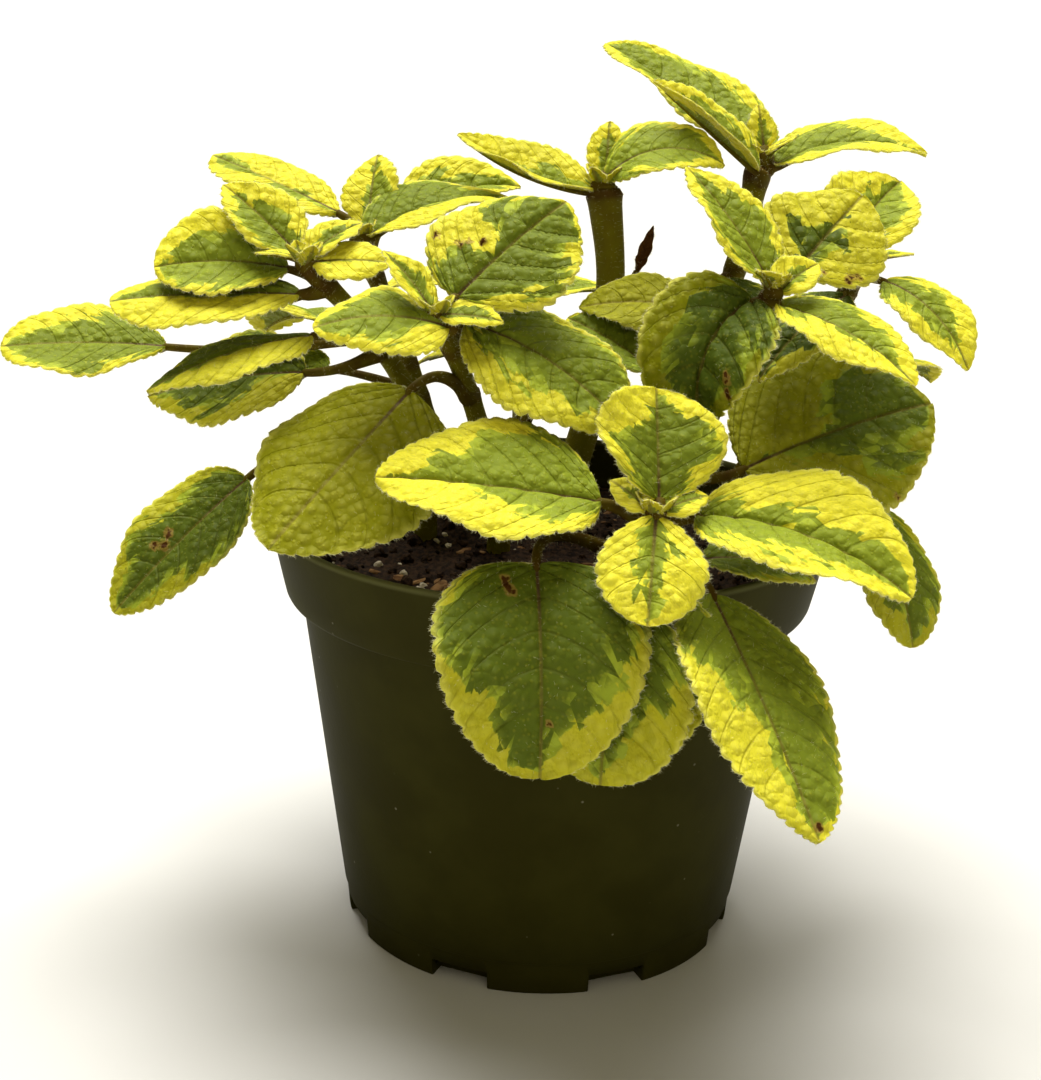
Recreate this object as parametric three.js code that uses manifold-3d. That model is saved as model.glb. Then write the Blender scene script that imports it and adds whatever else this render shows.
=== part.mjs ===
// A variegated plectranthus in a thin nursery pot: ten leafy stems that stand
// in the soil, each with its leaves in crossed pairs. Millimetres, +Z up. The
// origin is the middle of the pot's underside and the front faces -Y.
import * as THREE from 'three';
import { mergeVertices } from 'three/addons/utils/BufferGeometryUtils.js';
import Module from 'manifold-3d';

const wasm = await Module();
wasm.setup();
const { Manifold, Mesh } = wasm;

// Sizes of the pot. A round nursery pot sold as 4.5 inch is 114 mm across its rim.
const POT_HEIGHT = 88;
const RIM_RADIUS = 57;
const BAND_HEIGHT = 16;
const BAND_FOOT = POT_HEIGHT - BAND_HEIGHT;
const BAND_LOWER_RADIUS = 53.7;
const BODY_TOP_RADIUS = 50.6;
const STEP_RADIUS = 42;
const STEP_HEIGHT = 7;
const STEP_DEPTH = 0.4;
const FOOT_RADIUS = 41;
const WALL = 1.4;
const FLOOR = 1.8;
const POT_SIDES = 36;

// Eight notches in the edge of the foot and six holes in the floor drain the pot.
const NOTCHES = 8;
const NOTCH_SIZE = [9, 12, 8];
const DRAIN_HOLES = 6;
const DRAIN_RADIUS = 4;
const DRAIN_CIRCLE = 24;

// The soil is one filling with a bumpy top, a few bits of bark on it and a plain
// hole for each stem.
const GAP = 0.3;
const SOIL_LEVEL = 78;
const SOIL_BUMPS = [-0.7, 0.5];
const SOIL_SIDES = 24;
const SOIL_RING = 26;
const BITS = 10;
const BIT_REACH = [12, 44];
const BIT_RADIUS = [1.2, 2.8];
const HOLE_FLOOR = 65.6;
const HOLE_SIDES = 8;

// Stems are round and leaf stalks square. Stalks of big leaves are thicker, and
// a long one has a bend in it.
const STEM_FOOT = 66;
const STEM_SIDES = 6;
const STEM_RINGS = 5;
const STALK_RADIUS = 0.5;
const STALK_GROWTH = 0.014;
const LONG_STALK = 5;

// Blades: how thick, how much each half cups, in degrees from midrib to edge, how
// far the edge waves, as a share of the width, and how deep the teeth are cut.
const BLADE = 0.8;
const CUP = -10;
const RIPPLE = 0.03;
const RIPPLES = 9;
const NOTCH_DEPTH = 0.09;
const INNER_LINE = 0.55;

// Leaves over this length have so many teeth a side and lines across the blade.
const LEAF_DETAIL = [
  { over: 30, teeth: 8, crossLines: [0.12, 0.3, 0.5, 0.7, 0.88] },
  { over: 18, teeth: 7, crossLines: [0.12, 0.35, 0.6, 0.85] },
  { over: 0, teeth: 4, crossLines: [0.3, 0.7] },
];

// The outline of a leaf: where it is widest and how full its ends are.
const OVATE = { widest: 0.42, full: 0.75 };
const ROUND = { widest: 0.42, full: 0.6 };
const BROAD = { widest: 0.38, full: 0.5 };
const BLUNT = { widest: 0.55, full: 0.5 };

// One leaf: base of the blade; way it points [degrees from +X, lift, bend from
// base to tip]; length and width; tilt [roll, fold of the halves]; outline;
// and how far up its stem the stalk starts.
function leaf(base, way, size, tilt, outline, from) {
  return { base, way, size, tilt, outline, from };
}

// Each path starts at the foot in the soil and ends at the growing bud. The radii
// are the stem's at its foot and its bud.
const LEAFY_STEMS = {
  leafy_stem_front: {
    path: [[12, -26], [15, -38, 91], [17.5, -51.5, 103]],
    radii: [2.6, 1.8],
    leaves: [
      leaf([16.5, -52, 103.5], [146, 36, -20], [9.5, 8], [-20, 12], OVATE, 1),
      leaf([18.5, -52, 103.5], [24, 24, -23], [9.5, 8.5], [22, 14], OVATE, 1),
      leaf([18, -50.5, 105], [92, 54, -6], [22, 25.5], [18, 17], BLUNT, 0.98),
      leaf([17.5, -53, 103], [264, -29, -21], [22, 19.5], [-4, 6], BLUNT, 0.97),
      leaf([8, -47, 103.5], [187, 11, -8], [40, 32], [-24, 14], ROUND, 0.9),
      leaf([25.5, -46, 101], [335, 10, -44], [41, 31], [17, 18], ROUND, 0.9),
      leaf([28, -53.5, 89], [291.5, -28, -11], [50, 29.5], [-13, 5], ROUND, 0.7),
      leaf([-3, -57, 94.5], [275, -30, -62], [38, 38], [-2, 13], BROAD, 0.55),
      leaf([20.5, -56.5, 91], [256, -58, -28], [30, 21], [-2, 10], ROUND, 0.65),
      leaf([13, -58.5, 91.5], [251, -52, -34], [34.5, 31], [2, 12], BLUNT, 0.55),
      leaf([27, -43, 92], [8, 8, -40], [22.5, 16], [13, 9], OVATE, 0.75),
    ],
  },
  leafy_stem_centre: {
    path: [[-10.5, 2], [-13, -6, 100], [-18, -18, 120], [-22.5, -27, 132]],
    radii: [2.6, 1.6],
    leaves: [
      leaf([-23.5, -27.5, 133], [151, 54, -21], [14.5, 10], [-5, 17], OVATE, 1),
      leaf([-21.8, -28, 132.4], [350, 6, -18], [12, 9], [22, 14], OVATE, 1),
      leaf([-20, -29.5, 130.5], [190, 20, -40], [25, 20.5], [-24, -3], BROAD, 0.97),
      leaf([-19, -24, 135], [41, 37, -12], [31, 31], [24, 0], ROUND, 0.96),
      leaf([-17, -22, 130], [341, -10, -38], [37, 31], [21, 0], ROUND, 0.88),
      leaf([-27, -28, 118.2], [227, -33, -3], [41, 38.5], [-16, -6], ROUND, 0.7),
    ],
  },
  leafy_stem_left: {
    path: [[-26, 10], [-27, 2, 105], [-36, -6, 124], [-48, -14, 139]],
    radii: [2.6, 1.6],
    leaves: [
      leaf([-47.5, -12.5, 139.5], [36, 39, -26], [13.5, 10], [14, 21], OVATE, 1),
      leaf([-49, -13, 139.5], [169, 14, -22], [9, 6], [0, 12], OVATE, 1),
      leaf([-50, -8, 139.5], [147, 37, -11], [22, 15.5], [-23, 19], OVATE, 0.98),
      leaf([-46.5, -14, 139], [356, 9, -15], [15.5, 13], [28, 4], OVATE, 0.98),
      leaf([-52, -7, 136.5], [187, 12, -24], [25.5, 24], [-34, 17], BLUNT, 0.94),
      leaf([-49, -12, 132.5], [184, 2, -10], [36, 24], [-16, 0], BLUNT, 0.92),
      leaf([-46.5, -14, 125], [204, -2, -26], [33.5, 21.5], [-4, -3], OVATE, 0.8),
      leaf([-49, -6, 116], [169, -4, -17], [34, 27], [-30, 4], OVATE, 0.7),
      leaf([-77, -2, 119.5], [186, 5, -11], [32, 23.5], [-24, 11], BLUNT, 0.75),
      leaf([-63, 8, 90], [204, -38, -9], [39, 27], [-23, 10], ROUND, 0.4),
    ],
  },
  leafy_stem_back_left: {
    path: [[-22, 26], [-29, 21, 108], [-37, 14, 132], [-39.5, 6.5, 140.5]],
    radii: [2.5, 1.6],
    leaves: [
      leaf([-44.5, 14, 144.5], [163, 22.5, -6], [29.5, 20], [-14, 5], BLUNT, 0.93),
      leaf([-38, 5, 141], [24, 34, -46], [33, 25], [6, 14], OVATE, 1),
      leaf([-38.5, 14, 141.5], [87, 59, -32], [19.5, 13], [-15, 15], OVATE, 0.97),
      leaf([-33, 28, 143], [11, 30, -36], [26.5, 20.5], [21, 24], OVATE, 0.86),
      leaf([-46, 30, 118], [128, 12, -48], [36, 28], [10, 10], OVATE, 0.6),
      leaf([-48, 24, 110], [160, -2, -38], [30, 23], [-8, 10], OVATE, 0.5),
      leaf([-40, 42, 96], [118, -10, -46], [34, 27], [0, 8], ROUND, 0.35),
    ],
  },
  leafy_stem_tall_middle: {
    path: [[2, 14], [8, 17, 105], [11.2, 20, 130], [9, 22, 151]],
    radii: [3.4, 2.8],
    leaves: [
      leaf([7.5, 21.5, 149.5], [175, 3, 34], [31, 21], [-13, 27], OVATE, 0.98),
      leaf([9.5, 22, 152], [356, 50, -84], [26.5, 20], [27, 11], OVATE, 0.99),
      leaf([9.5, 24, 152], [85, 60, -10], [13, 9], [0, 10], ROUND, 0.99),
      leaf([16.5, 19.5, 133.5], [20, 69, 4], [10, 3], [60, 20], OVATE, 0.72),
      leaf([10, 31, 114], [92, 4, -42], [26, 20], [0, 12], OVATE, 0.5),
      leaf([-5, 27, 114], [168, 10, -38], [26, 20], [0, 12], OVATE, 0.5),
    ],
  },
  leafy_stem_tall_right: {
    path: [[24, 24], [33, 29, 112], [39, 33, 136], [42.5, 36, 155]],
    radii: [2.9, 2.1],
    leaves: [
      leaf([44.3, 40, 156], [156, 31, -4], [43.5, 31], [-9, 17], BROAD, 0.98),
      leaf([41.5, 30, 153.5], [183, 38, 0], [29, 17.5], [-14, 32], OVATE, 0.96),
      leaf([45.5, 36, 154], [357, 32, -52], [33, 23.5], [13, 15], OVATE, 0.97),
      leaf([43, 36, 157.5], [104, 65, -9], [10, 7], [0, 12], OVATE, 1),
      leaf([43, 34, 156.5], [11, 34, -9], [8, 5.5], [0, 12], OVATE, 1),
      leaf([46, 44, 136], [62, 16, -46], [34, 26], [0, 12], OVATE, 0.75),
      leaf([36, 29, 131], [268, -14, -44], [25, 19], [0, 12], OVATE, 0.7),
    ],
  },
  leafy_stem_right: {
    path: [[20, -2], [26, -6, 100], [35, -12, 122], [40, -18, 137]],
    radii: [2.7, 1.7],
    leaves: [
      leaf([40.6, -19.6, 136.8], [28, 42, -25], [10, 10], [28, 20], ROUND, 1),
      leaf([39.5, -19, 138], [240, 40, -19], [7, 5.5], [0, 20], OVATE, 1),
      leaf([39, -18, 138], [140, 53, -18], [28.5, 18.5], [-6, 17], OVATE, 0.98),
      leaf([45, -8, 138.8], [46, 34, -3], [24.5, 26.5], [32, 2], ROUND, 0.95),
      leaf([40.5, -20, 134.5], [325, -4, -33], [31, 22], [8, 8], OVATE, 0.95),
      leaf([36, -18.5, 134.5], [223, -4, -111], [29, 27], [-22, 22], ROUND, 0.93),
      leaf([26, 0, 130], [172, 8, -23], [22, 16.5], [-31, 10], OVATE, 0.86),
      leaf([19.5, -8, 118.5], [152, 31, -16], [21.5, 17], [-18, 17], ROUND, 0.6),
      leaf([37.5, -10, 100], [20, 22, -14], [43, 42], [40, 4], ROUND, 0.42),
    ],
  },
  leafy_stem_far_right: {
    path: [[36, 14], [48, 18, 104], [57, 16, 124], [59.5, 6, 138]],
    radii: [2.5, 1.6],
    leaves: [
      leaf([57, 8, 140], [53, 44, -29], [26, 21.5], [26, 25], OVATE, 0.97),
      leaf([63.5, -2, 136.5], [316, -8, -54], [25.5, 18.5], [9, 8], OVATE, 0.95),
      leaf([61.5, 2, 140.5], [9, 10, -10], [8.5, 6], [0, 12], OVATE, 1),
      leaf([68, 8, 88], [291, -42, -24], [31, 22.5], [-17, 8], BLUNT, 0.35),
      leaf([61, 22, 116], [34, 4, -40], [29, 23], [0, 10], OVATE, 0.65),
      leaf([58, 7, 132], [214, -20, -30], [27, 19], [-10, 10], OVATE, 0.9),
    ],
  },
  leafy_stem_back: {
    path: [[-5, 34], [-7, 44, 102], [-9, 53, 124]],
    radii: [2.5, 1.6],
    leaves: [
      leaf([-9, 54, 125], [100, 40, -20], [11, 8], [0, 14], OVATE, 1),
      leaf([-9, 53, 125], [280, 50, -20], [9, 7], [0, 14], OVATE, 1),
      leaf([-5, 54, 121], [14, 20, -40], [25, 20], [0, 12], OVATE, 0.93),
      leaf([-13, 54, 122], [198, 24, -40], [27, 21], [0, 12], OVATE, 0.95),
      leaf([-9, 60, 112], [98, 6, -56], [36, 29], [0, 10], ROUND, 0.75),
      leaf([2, 54, 98], [52, -8, -50], [37, 30], [0, 8], ROUND, 0.5),
    ],
  },
  leafy_stem_back_right: {
    path: [[19, 40], [25, 50, 97], [33, 58, 113]],
    radii: [2.4, 1.5],
    leaves: [
      leaf([34, 59, 114], [30, 40, -20], [10, 7], [0, 14], OVATE, 1),
      leaf([32, 57.5, 114], [215, 45, -20], [9, 7], [0, 14], OVATE, 1),
      leaf([32, 62, 112], [112, 20, -44], [25, 20], [0, 12], OVATE, 0.95),
      leaf([38, 56, 111], [310, 24, -44], [22, 17], [0, 12], OVATE, 0.95),
      leaf([44, 54, 98], [24, -4, -50], [36, 29], [0, 8], ROUND, 0.6),
    ],
  },
};

const vec = (p) => new THREE.Vector3(...p);

// A repeatable random draw between two values, so that every run gives the same soil.
function drawFrom(seed) {
  let state = seed;
  return (low, high) => {
    state = (state * 1664525 + 1013904223) % 4294967296;
    return low + (high - low) * (state / 4294967296);
  };
}

// A geometry made of given points and faces, each face three point numbers.
function shapeOf(points, faces) {
  return new THREE.BufferGeometry().setFromPoints(points).setIndex(faces.flat());
}

// The same shape with the points that meet made one, and no face of no width.
function welded(shape) {
  const bare = new THREE.BufferGeometry();
  bare.setAttribute('position', shape.getAttribute('position'));
  bare.setIndex(shape.getIndex());
  const whole = mergeVertices(bare);
  const corners = [...whole.getIndex().array];
  const kept = [];
  for (let i = 0; i < corners.length; i += 3) {
    const face = corners.slice(i, i + 3);
    if (new Set(face).size === 3) kept.push(...face);
  }
  return whole.setIndex(kept);
}

// The closed solid that is joined and cut.
function solidOf(shape) {
  const whole = welded(shape);
  const vertProperties = new Float32Array(whole.getAttribute('position').array);
  const triVerts = new Uint32Array(whole.getIndex().array);
  return new Manifold(new Mesh({ numProp: 3, vertProperties, triVerts }));
}

// A smooth line through the path of a stem, which leaves the soil upright.
function stemCurve({ path }) {
  const [foot, ...rest] = path;
  const upright = [STEM_FOOT, SOIL_LEVEL - 3, SOIL_LEVEL + 4].map((z) => [...foot, z]);
  return new THREE.CatmullRomCurve3([...upright, ...rest].map(vec), false, 'centripetal');
}

// The round stem: a tapered cylinder whose rings are laid along the curve.
function stemShape(curve, [footRadius, budRadius]) {
  const shape = new THREE.CylinderGeometry(budRadius, footRadius, 1, STEM_SIDES, STEM_RINGS);
  const { normals, binormals } = curve.computeFrenetFrames(STEM_RINGS);
  const points = shape.getAttribute('position');
  for (let i = 0; i < points.count; i += 1) {
    const ring = Math.round((points.getY(i) + 0.5) * STEM_RINGS);
    const place = curve.getPointAt(ring / STEM_RINGS)
      .addScaledVector(normals[ring], points.getZ(i))
      .addScaledVector(binormals[ring], points.getX(i));
    points.setXYZ(i, place.x, place.y, place.z);
  }
  return shape;
}

// The midrib of a leaf at u, from 0 at the base of the blade to 1 at its tip:
// its place, the way it runs, the way to the leaf's left half, and up.
function midrib({ base, way, size, tilt }, u) {
  const steps = 12;
  const place = vec(base);
  const [turned, lifted, bend] = way.map(THREE.MathUtils.degToRad);
  const heading = (t) => {
    const lift = lifted + bend * t;
    return new THREE.Vector3(
      Math.cos(lift) * Math.cos(turned),
      Math.cos(lift) * Math.sin(turned),
      Math.sin(lift),
    );
  };
  for (let i = 0; i < steps; i += 1) {
    place.addScaledVector(heading((u * (i + 0.5)) / steps), (size[0] * u) / steps);
  }
  const along = heading(u);
  const level = new THREE.Vector3(-Math.sin(turned), Math.cos(turned), 0);
  const up = along.clone().cross(level);
  const roll = THREE.MathUtils.degToRad(tilt[0]);
  const side = level.clone().multiplyScalar(Math.cos(roll)).addScaledVector(up, Math.sin(roll));
  return { place, along, side, up: along.clone().cross(side) };
}

// Half the width of the blade at u.
function halfWidth({ size, outline }, u) {
  const power = Math.log(0.5) / Math.log(outline.widest);
  return (size[1] / 2) * Math.sin(Math.PI * u ** power) ** outline.full;
}

// A point of the blade: v runs from -1 to 1 across it, and lift along its normal.
// Each half leaves the midrib at the fold angle and cups down towards the edge.
function bladePoint(spec, u, v, lift) {
  const { place, side, up } = midrib(spec, u);
  const half = halfWidth(spec, Math.min(u, 0.9999));
  const parts = 4;
  const angle = (t) => THREE.MathUtils.degToRad(spec.tilt[1] + CUP * t);
  for (let i = 0; i < parts; i += 1) {
    const bent = angle((Math.abs(v) * (i + 0.5)) / parts);
    place.addScaledVector(side, (half * v * Math.cos(bent)) / parts);
    place.addScaledVector(up, (half * Math.abs(v) * Math.sin(bent)) / parts);
  }
  const tilt = angle(Math.abs(v));
  const normal = up.clone().multiplyScalar(Math.cos(tilt))
    .addScaledVector(side, -Math.sign(v) * Math.sin(tilt));
  const phase = spec.base[0] + spec.base[2] + (v > 0 ? 2 : 0);
  const waves = Math.sin(RIPPLES * u + phase) * Math.sin(Math.PI * u);
  return place.addScaledVector(normal, RIPPLE * spec.size[1] * v * v * waves + lift);
}

// The stalk as square rings, from the base of the blade back into the stem.
// Each ring holds its top, left, bottom and right corner.
function stalkRings(spec, curve) {
  const start = curve.getPointAt(spec.from);
  const { place: base, along, side } = midrib(spec, 0);
  const reach = start.distanceTo(base);
  const thick = STALK_RADIUS + STALK_GROWTH * spec.size[0];
  const bend = base.clone().addScaledVector(along, -reach / 2);
  const middle = start.clone().lerp(base, 0.5).lerp(bend, 0.5);
  const line = reach > LONG_STALK ? [base, middle, start] : [base, start];
  let left = side;
  return line.map((centre, i) => {
    const from = line[Math.min(i + 1, line.length - 1)];
    const to = line[Math.max(i - 1, 0)];
    const forward = i === 0 ? along : to.clone().sub(from).normalize();
    left = left.clone().addScaledVector(forward, -left.dot(forward)).normalize();
    const top = forward.clone().cross(left);
    const radius = thick * (i === 0 ? 0.8 : 1 + 0.1 * i);
    return [[top, radius], [left, radius], [top, -radius], [left, -radius]]
      .map(([axis, distance]) => centre.clone().addScaledVector(axis, distance));
  });
}

// Faces between two rows of points along a leaf that share their first and last.
function stitch(rowA, rowB) {
  const faces = [];
  let a = 0;
  let b = 0;
  while (a < rowA.length - 1 || b < rowB.length - 1) {
    const nextA = a < rowA.length - 1 ? rowA[a + 1].at : Infinity;
    const nextB = b < rowB.length - 1 ? rowB[b + 1].at : Infinity;
    const stepA = nextA <= nextB;
    const face = [rowA[a].id, rowB[b].id, stepA ? rowA[a + 1].id : rowB[b + 1].id];
    if (new Set(face).size === 3) faces.push(face);
    if (stepA) a += 1;
    else b += 1;
  }
  return faces;
}

// The flat pattern of a blade: its [u, v] points, the row along the midrib, and
// for each half an inner row and the edge, which steps from tooth to tooth.
function bladePattern(length) {
  const { teeth, crossLines } = LEAF_DETAIL.find(({ over }) => length >= over);
  const flat = [[0, 0], [1, 0]];
  const base = { at: 0, id: 0 };
  const tip = { at: 1, id: 1 };
  const point = (u, v) => ({ at: u, id: flat.push([u, v]) - 1 });
  const row = (v) => [base, ...crossLines.map((u) => point(u, v)), tip];
  const middle = row(0);
  const halves = [1, -1].map((sign) => {
    const inner = row(sign * INNER_LINE);
    const edge = [base];
    for (let k = 1; k < 2 * teeth; k += 1) {
      const step = k / (2 * teeth);
      const u = 0.5 * step + 0.25 * (1 - Math.cos(Math.PI * step));
      edge.push(point(u, sign * (k % 2 ? 1 : 1 - NOTCH_DEPTH)));
    }
    edge.push(tip);
    return { sign, inner, edge };
  });
  return { flat, middle, halves };
}

// A leaf is one thin solid: a square stalk that runs into a toothed blade, with
// the same faces on the upper and the lower side of the blade.
function leafShape(spec, curve) {
  const { flat, middle, halves } = bladePattern(spec.size[0]);
  const under = flat.length;
  const points = [BLADE / 2, -BLADE / 2]
    .flatMap((lift) => flat.map(([u, v]) => bladePoint(spec, u, v, lift)));
  const add = (point) => points.push(point) - 1;

  // The stalk's last ring shares its top and bottom with the base of the blade.
  const [first, ...others] = stalkRings(spec, curve);
  const [top, left, bottom, right] = first;
  points[0] = top;
  points[under] = bottom;
  const rings = [[0, add(left), under, add(right)], ...others.map((ring) => ring.map(add))];

  const faces = [];
  const face = (sign, a, b, c) => faces.push(sign > 0 ? [a, b, c] : [a, c, b]);
  for (const { sign, inner, edge } of halves) {
    for (const [a, b, c] of [...stitch(middle, inner), ...stitch(inner, edge)]) {
      face(-sign, a, b, c);
      face(sign, a + under, b + under, c + under);
    }
    const beside = rings[0][sign > 0 ? 1 : 3];
    const start = edge[1].id;
    face(sign, beside, 0, start);
    face(sign, beside, start, start + under);
    face(sign, beside, start + under, under);
    for (let k = 1; k < edge.length - 1; k += 1) {
      const here = edge[k].id;
      const next = edge[k + 1].id;
      face(sign, here, next, next + under);
      face(sign, here, next + under, here + under);
    }
  }
  for (let i = 0; i < rings.length - 1; i += 1) {
    for (let k = 0; k < 4; k += 1) {
      const next = (k + 1) % 4;
      faces.push([rings[i][k], rings[i][next], rings[i + 1][next]]);
      faces.push([rings[i][k], rings[i + 1][next], rings[i + 1][k]]);
    }
  }
  const end = rings.at(-1);
  faces.push([end[0], end[1], end[2]], [end[0], end[2], end[3]]);
  return shapeOf(points, faces);
}

// A stem with all its leaves, grown together.
function leafyStem({ path, radii, leaves }) {
  const curve = stemCurve({ path });
  const shapes = [stemShape(curve, radii), ...leaves.map((spec) => leafShape(spec, curve))];
  const joined = Manifold.union(shapes.map(solidOf));
  if (joined.decompose().length !== 1) throw new Error('a leaf has come off its stem');
  return joined;
}

// A shape turned round the pot's axis from its outline of [radius, height].
function turnedShape(outline, sides) {
  const profile = outline.map(([radius, height]) => new THREE.Vector2(radius, height));
  return new THREE.LatheGeometry(profile, sides).rotateX(Math.PI / 2);
}

function uprightCylinder(radius, height, sides) {
  return new THREE.CylinderGeometry(radius, radius, height, sides).rotateX(Math.PI / 2);
}

// Copies of a shape set evenly round the pot's axis, the first one turned by a
// share of the space between two.
function around(count, share, reach, makeShape) {
  return Array.from({ length: count }, (_, i) => solidOf(makeShape()
    .translate(reach, 0, 0)
    .rotateZ((2 * Math.PI * (i + share)) / count)));
}

// A tapered pot with a broad rim band, one thin wall and a fine step at its foot.
function pot() {
  const shell = solidOf(turnedShape([
    [0, 0],
    [FOOT_RADIUS, 0],
    [STEP_RADIUS - STEP_DEPTH, STEP_HEIGHT],
    [STEP_RADIUS, STEP_HEIGHT],
    [BODY_TOP_RADIUS, BAND_FOOT],
    [BAND_LOWER_RADIUS, BAND_FOOT],
    [RIM_RADIUS, POT_HEIGHT],
    [RIM_RADIUS - WALL, POT_HEIGHT],
    [BAND_LOWER_RADIUS - WALL, BAND_FOOT + WALL],
    [BODY_TOP_RADIUS - WALL, BAND_FOOT],
    [FOOT_RADIUS - WALL, FLOOR],
    [0, FLOOR],
  ], POT_SIDES));
  const notch = () => new THREE.BoxGeometry(...NOTCH_SIZE);
  const hole = () => uprightCylinder(DRAIN_RADIUS, 4 * FLOOR, 10);
  return shell.subtract(Manifold.union([
    ...around(NOTCHES, 0.5, FOOT_RADIUS, notch),
    ...around(DRAIN_HOLES, 0, DRAIN_CIRCLE, hole),
  ]));
}

// The radius of the pot's inside at a height.
function innerRadius(z) {
  const inBand = z > BAND_FOOT;
  const [low, high] = inBand ? [BAND_FOOT + WALL, POT_HEIGHT] : [FLOOR, BAND_FOOT];
  const [narrow, wide] = inBand
    ? [BAND_LOWER_RADIUS, RIM_RADIUS]
    : [FOOT_RADIUS, BODY_TOP_RADIUS];
  return narrow - WALL + ((wide - narrow) * (z - low)) / (high - low);
}

function soil() {
  const draw = drawFrom(7);
  const foot = FLOOR + GAP;
  const body = welded(turnedShape([
    [0, foot],
    [innerRadius(foot) - 2 * GAP, foot],
    [innerRadius(BAND_FOOT - 1) - 2 * GAP, BAND_FOOT - 1],
    [innerRadius(SOIL_LEVEL) - 6 * GAP, SOIL_LEVEL],
    [SOIL_RING, SOIL_LEVEL],
    [0, SOIL_LEVEL],
  ], SOIL_SIDES));
  const points = body.getAttribute('position');
  for (let i = 0; i < points.count; i += 1) {
    const inward = Math.hypot(points.getX(i), points.getY(i)) < SOIL_RING + 1;
    const onTop = points.getZ(i) > BAND_FOOT;
    if (inward && onTop) points.setZ(i, SOIL_LEVEL + draw(...SOIL_BUMPS));
  }

  const bits = Array.from({ length: BITS }, () => {
    const turn = draw(0, 2 * Math.PI);
    const reach = draw(...BIT_REACH);
    return new THREE.IcosahedronGeometry(draw(...BIT_RADIUS), 0)
      .scale(1, 0.8, 0.6)
      .rotateX(draw(0, 0.7))
      .rotateZ(draw(0, Math.PI))
      .translate(reach * Math.cos(turn), reach * Math.sin(turn), SOIL_LEVEL);
  });

  const depth = POT_HEIGHT - HOLE_FLOOR;
  const holes = Object.values(LEAFY_STEMS).map(({ path: [[x, y]], radii: [footRadius] }) => (
    uprightCylinder(footRadius + 2 * GAP, depth, HOLE_SIDES).translate(x, y, HOLE_FLOOR + depth / 2)
  ));
  return Manifold.union([body, ...bits].map(solidOf))
    .subtract(Manifold.union(holes.map(solidOf)));
}

function meshOf(name, solid, color, roughness) {
  const { vertProperties, triVerts } = solid.getMesh();
  const joined = new THREE.BufferGeometry();
  joined.setAttribute('position', new THREE.BufferAttribute(vertProperties, 3));
  joined.setIndex(new THREE.BufferAttribute(triVerts, 1));
  const flat = joined.toNonIndexed();
  flat.computeVertexNormals();
  const mesh = new THREE.Mesh(flat, new THREE.MeshStandardMaterial({ color, roughness }));
  mesh.name = name;
  return mesh;
}

const group = new THREE.Group();
group.name = 'potted_plectranthus';
group.add(meshOf('nursery_pot', pot(), 0x2e2f1a, 0.5));
group.add(meshOf('soil', soil(), 0x2a1d14, 0.95));
for (const [name, stem] of Object.entries(LEAFY_STEMS)) {
  group.add(meshOf(name, leafyStem(stem), 0x9fae3a, 0.6));
}

export default group;
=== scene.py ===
# %% [markdown]
# # A variegated plectranthus in a nursery pot
#
# Ten leafy stems stand in the soil of a thin round pot. The plant is grown, so
# nothing on it is straight or repeated; the pot is moulded, so it is turned from
# one outline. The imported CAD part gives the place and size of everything. Here
# each CAD piece is replaced by finer ones with its looks.

import math

import bpy
import numpy as np
from mathutils import Matrix, Vector


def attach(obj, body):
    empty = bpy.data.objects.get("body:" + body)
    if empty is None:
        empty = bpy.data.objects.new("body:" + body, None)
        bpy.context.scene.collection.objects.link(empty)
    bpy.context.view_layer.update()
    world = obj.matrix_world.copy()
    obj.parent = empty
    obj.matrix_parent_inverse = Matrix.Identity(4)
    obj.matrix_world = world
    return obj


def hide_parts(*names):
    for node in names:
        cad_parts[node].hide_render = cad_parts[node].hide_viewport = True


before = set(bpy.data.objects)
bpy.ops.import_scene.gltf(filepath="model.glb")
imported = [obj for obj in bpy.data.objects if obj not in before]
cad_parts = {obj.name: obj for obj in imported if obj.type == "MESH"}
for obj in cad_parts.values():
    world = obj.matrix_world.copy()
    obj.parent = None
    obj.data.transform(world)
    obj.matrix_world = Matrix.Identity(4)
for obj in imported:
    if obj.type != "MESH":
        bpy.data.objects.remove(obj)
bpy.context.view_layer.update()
MM = 0.001
UP = np.array([0.0, 0.0, 1.0])
SEED = 11
rng = np.random.default_rng(SEED)
print("CAD nodes:", sorted(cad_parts))

# %% [markdown]
# ## Meshes
#
# The plant has more than a hundred blades and eighty thousand hairs. They could
# be modelled by hand and copied, but no two of them are alike. So every piece is
# built from arrays of points in millimetres. A part is a small closed shape, such
# as one blade, and a piece joins many parts into one mesh. Values that the
# materials read, such as how green a point is, are kept on the points as
# attributes.

# %% A part is one closed shape
def part(points, quads=(), triangles=(), quad_slots=None, **values):
    """One closed shape: its points, its faces and the values on its points."""
    quads = np.asarray(quads, int).reshape(-1, 4)
    triangles = np.asarray(triangles, int).reshape(-1, 3)
    slots = np.zeros(len(quads), int) if quad_slots is None else np.asarray(quad_slots)
    return dict(points=np.asarray(points, float), quads=quads, triangles=triangles,
                slots=slots, values=values)


# %% A mesh joins many parts
def joined(parts, kind):
    """The quads or triangles of all parts, numbered on from part to part."""
    starts = np.cumsum([0] + [len(p["points"]) for p in parts[:-1]])
    return np.concatenate([p[kind] + start for p, start in zip(parts, starts)])


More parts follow.
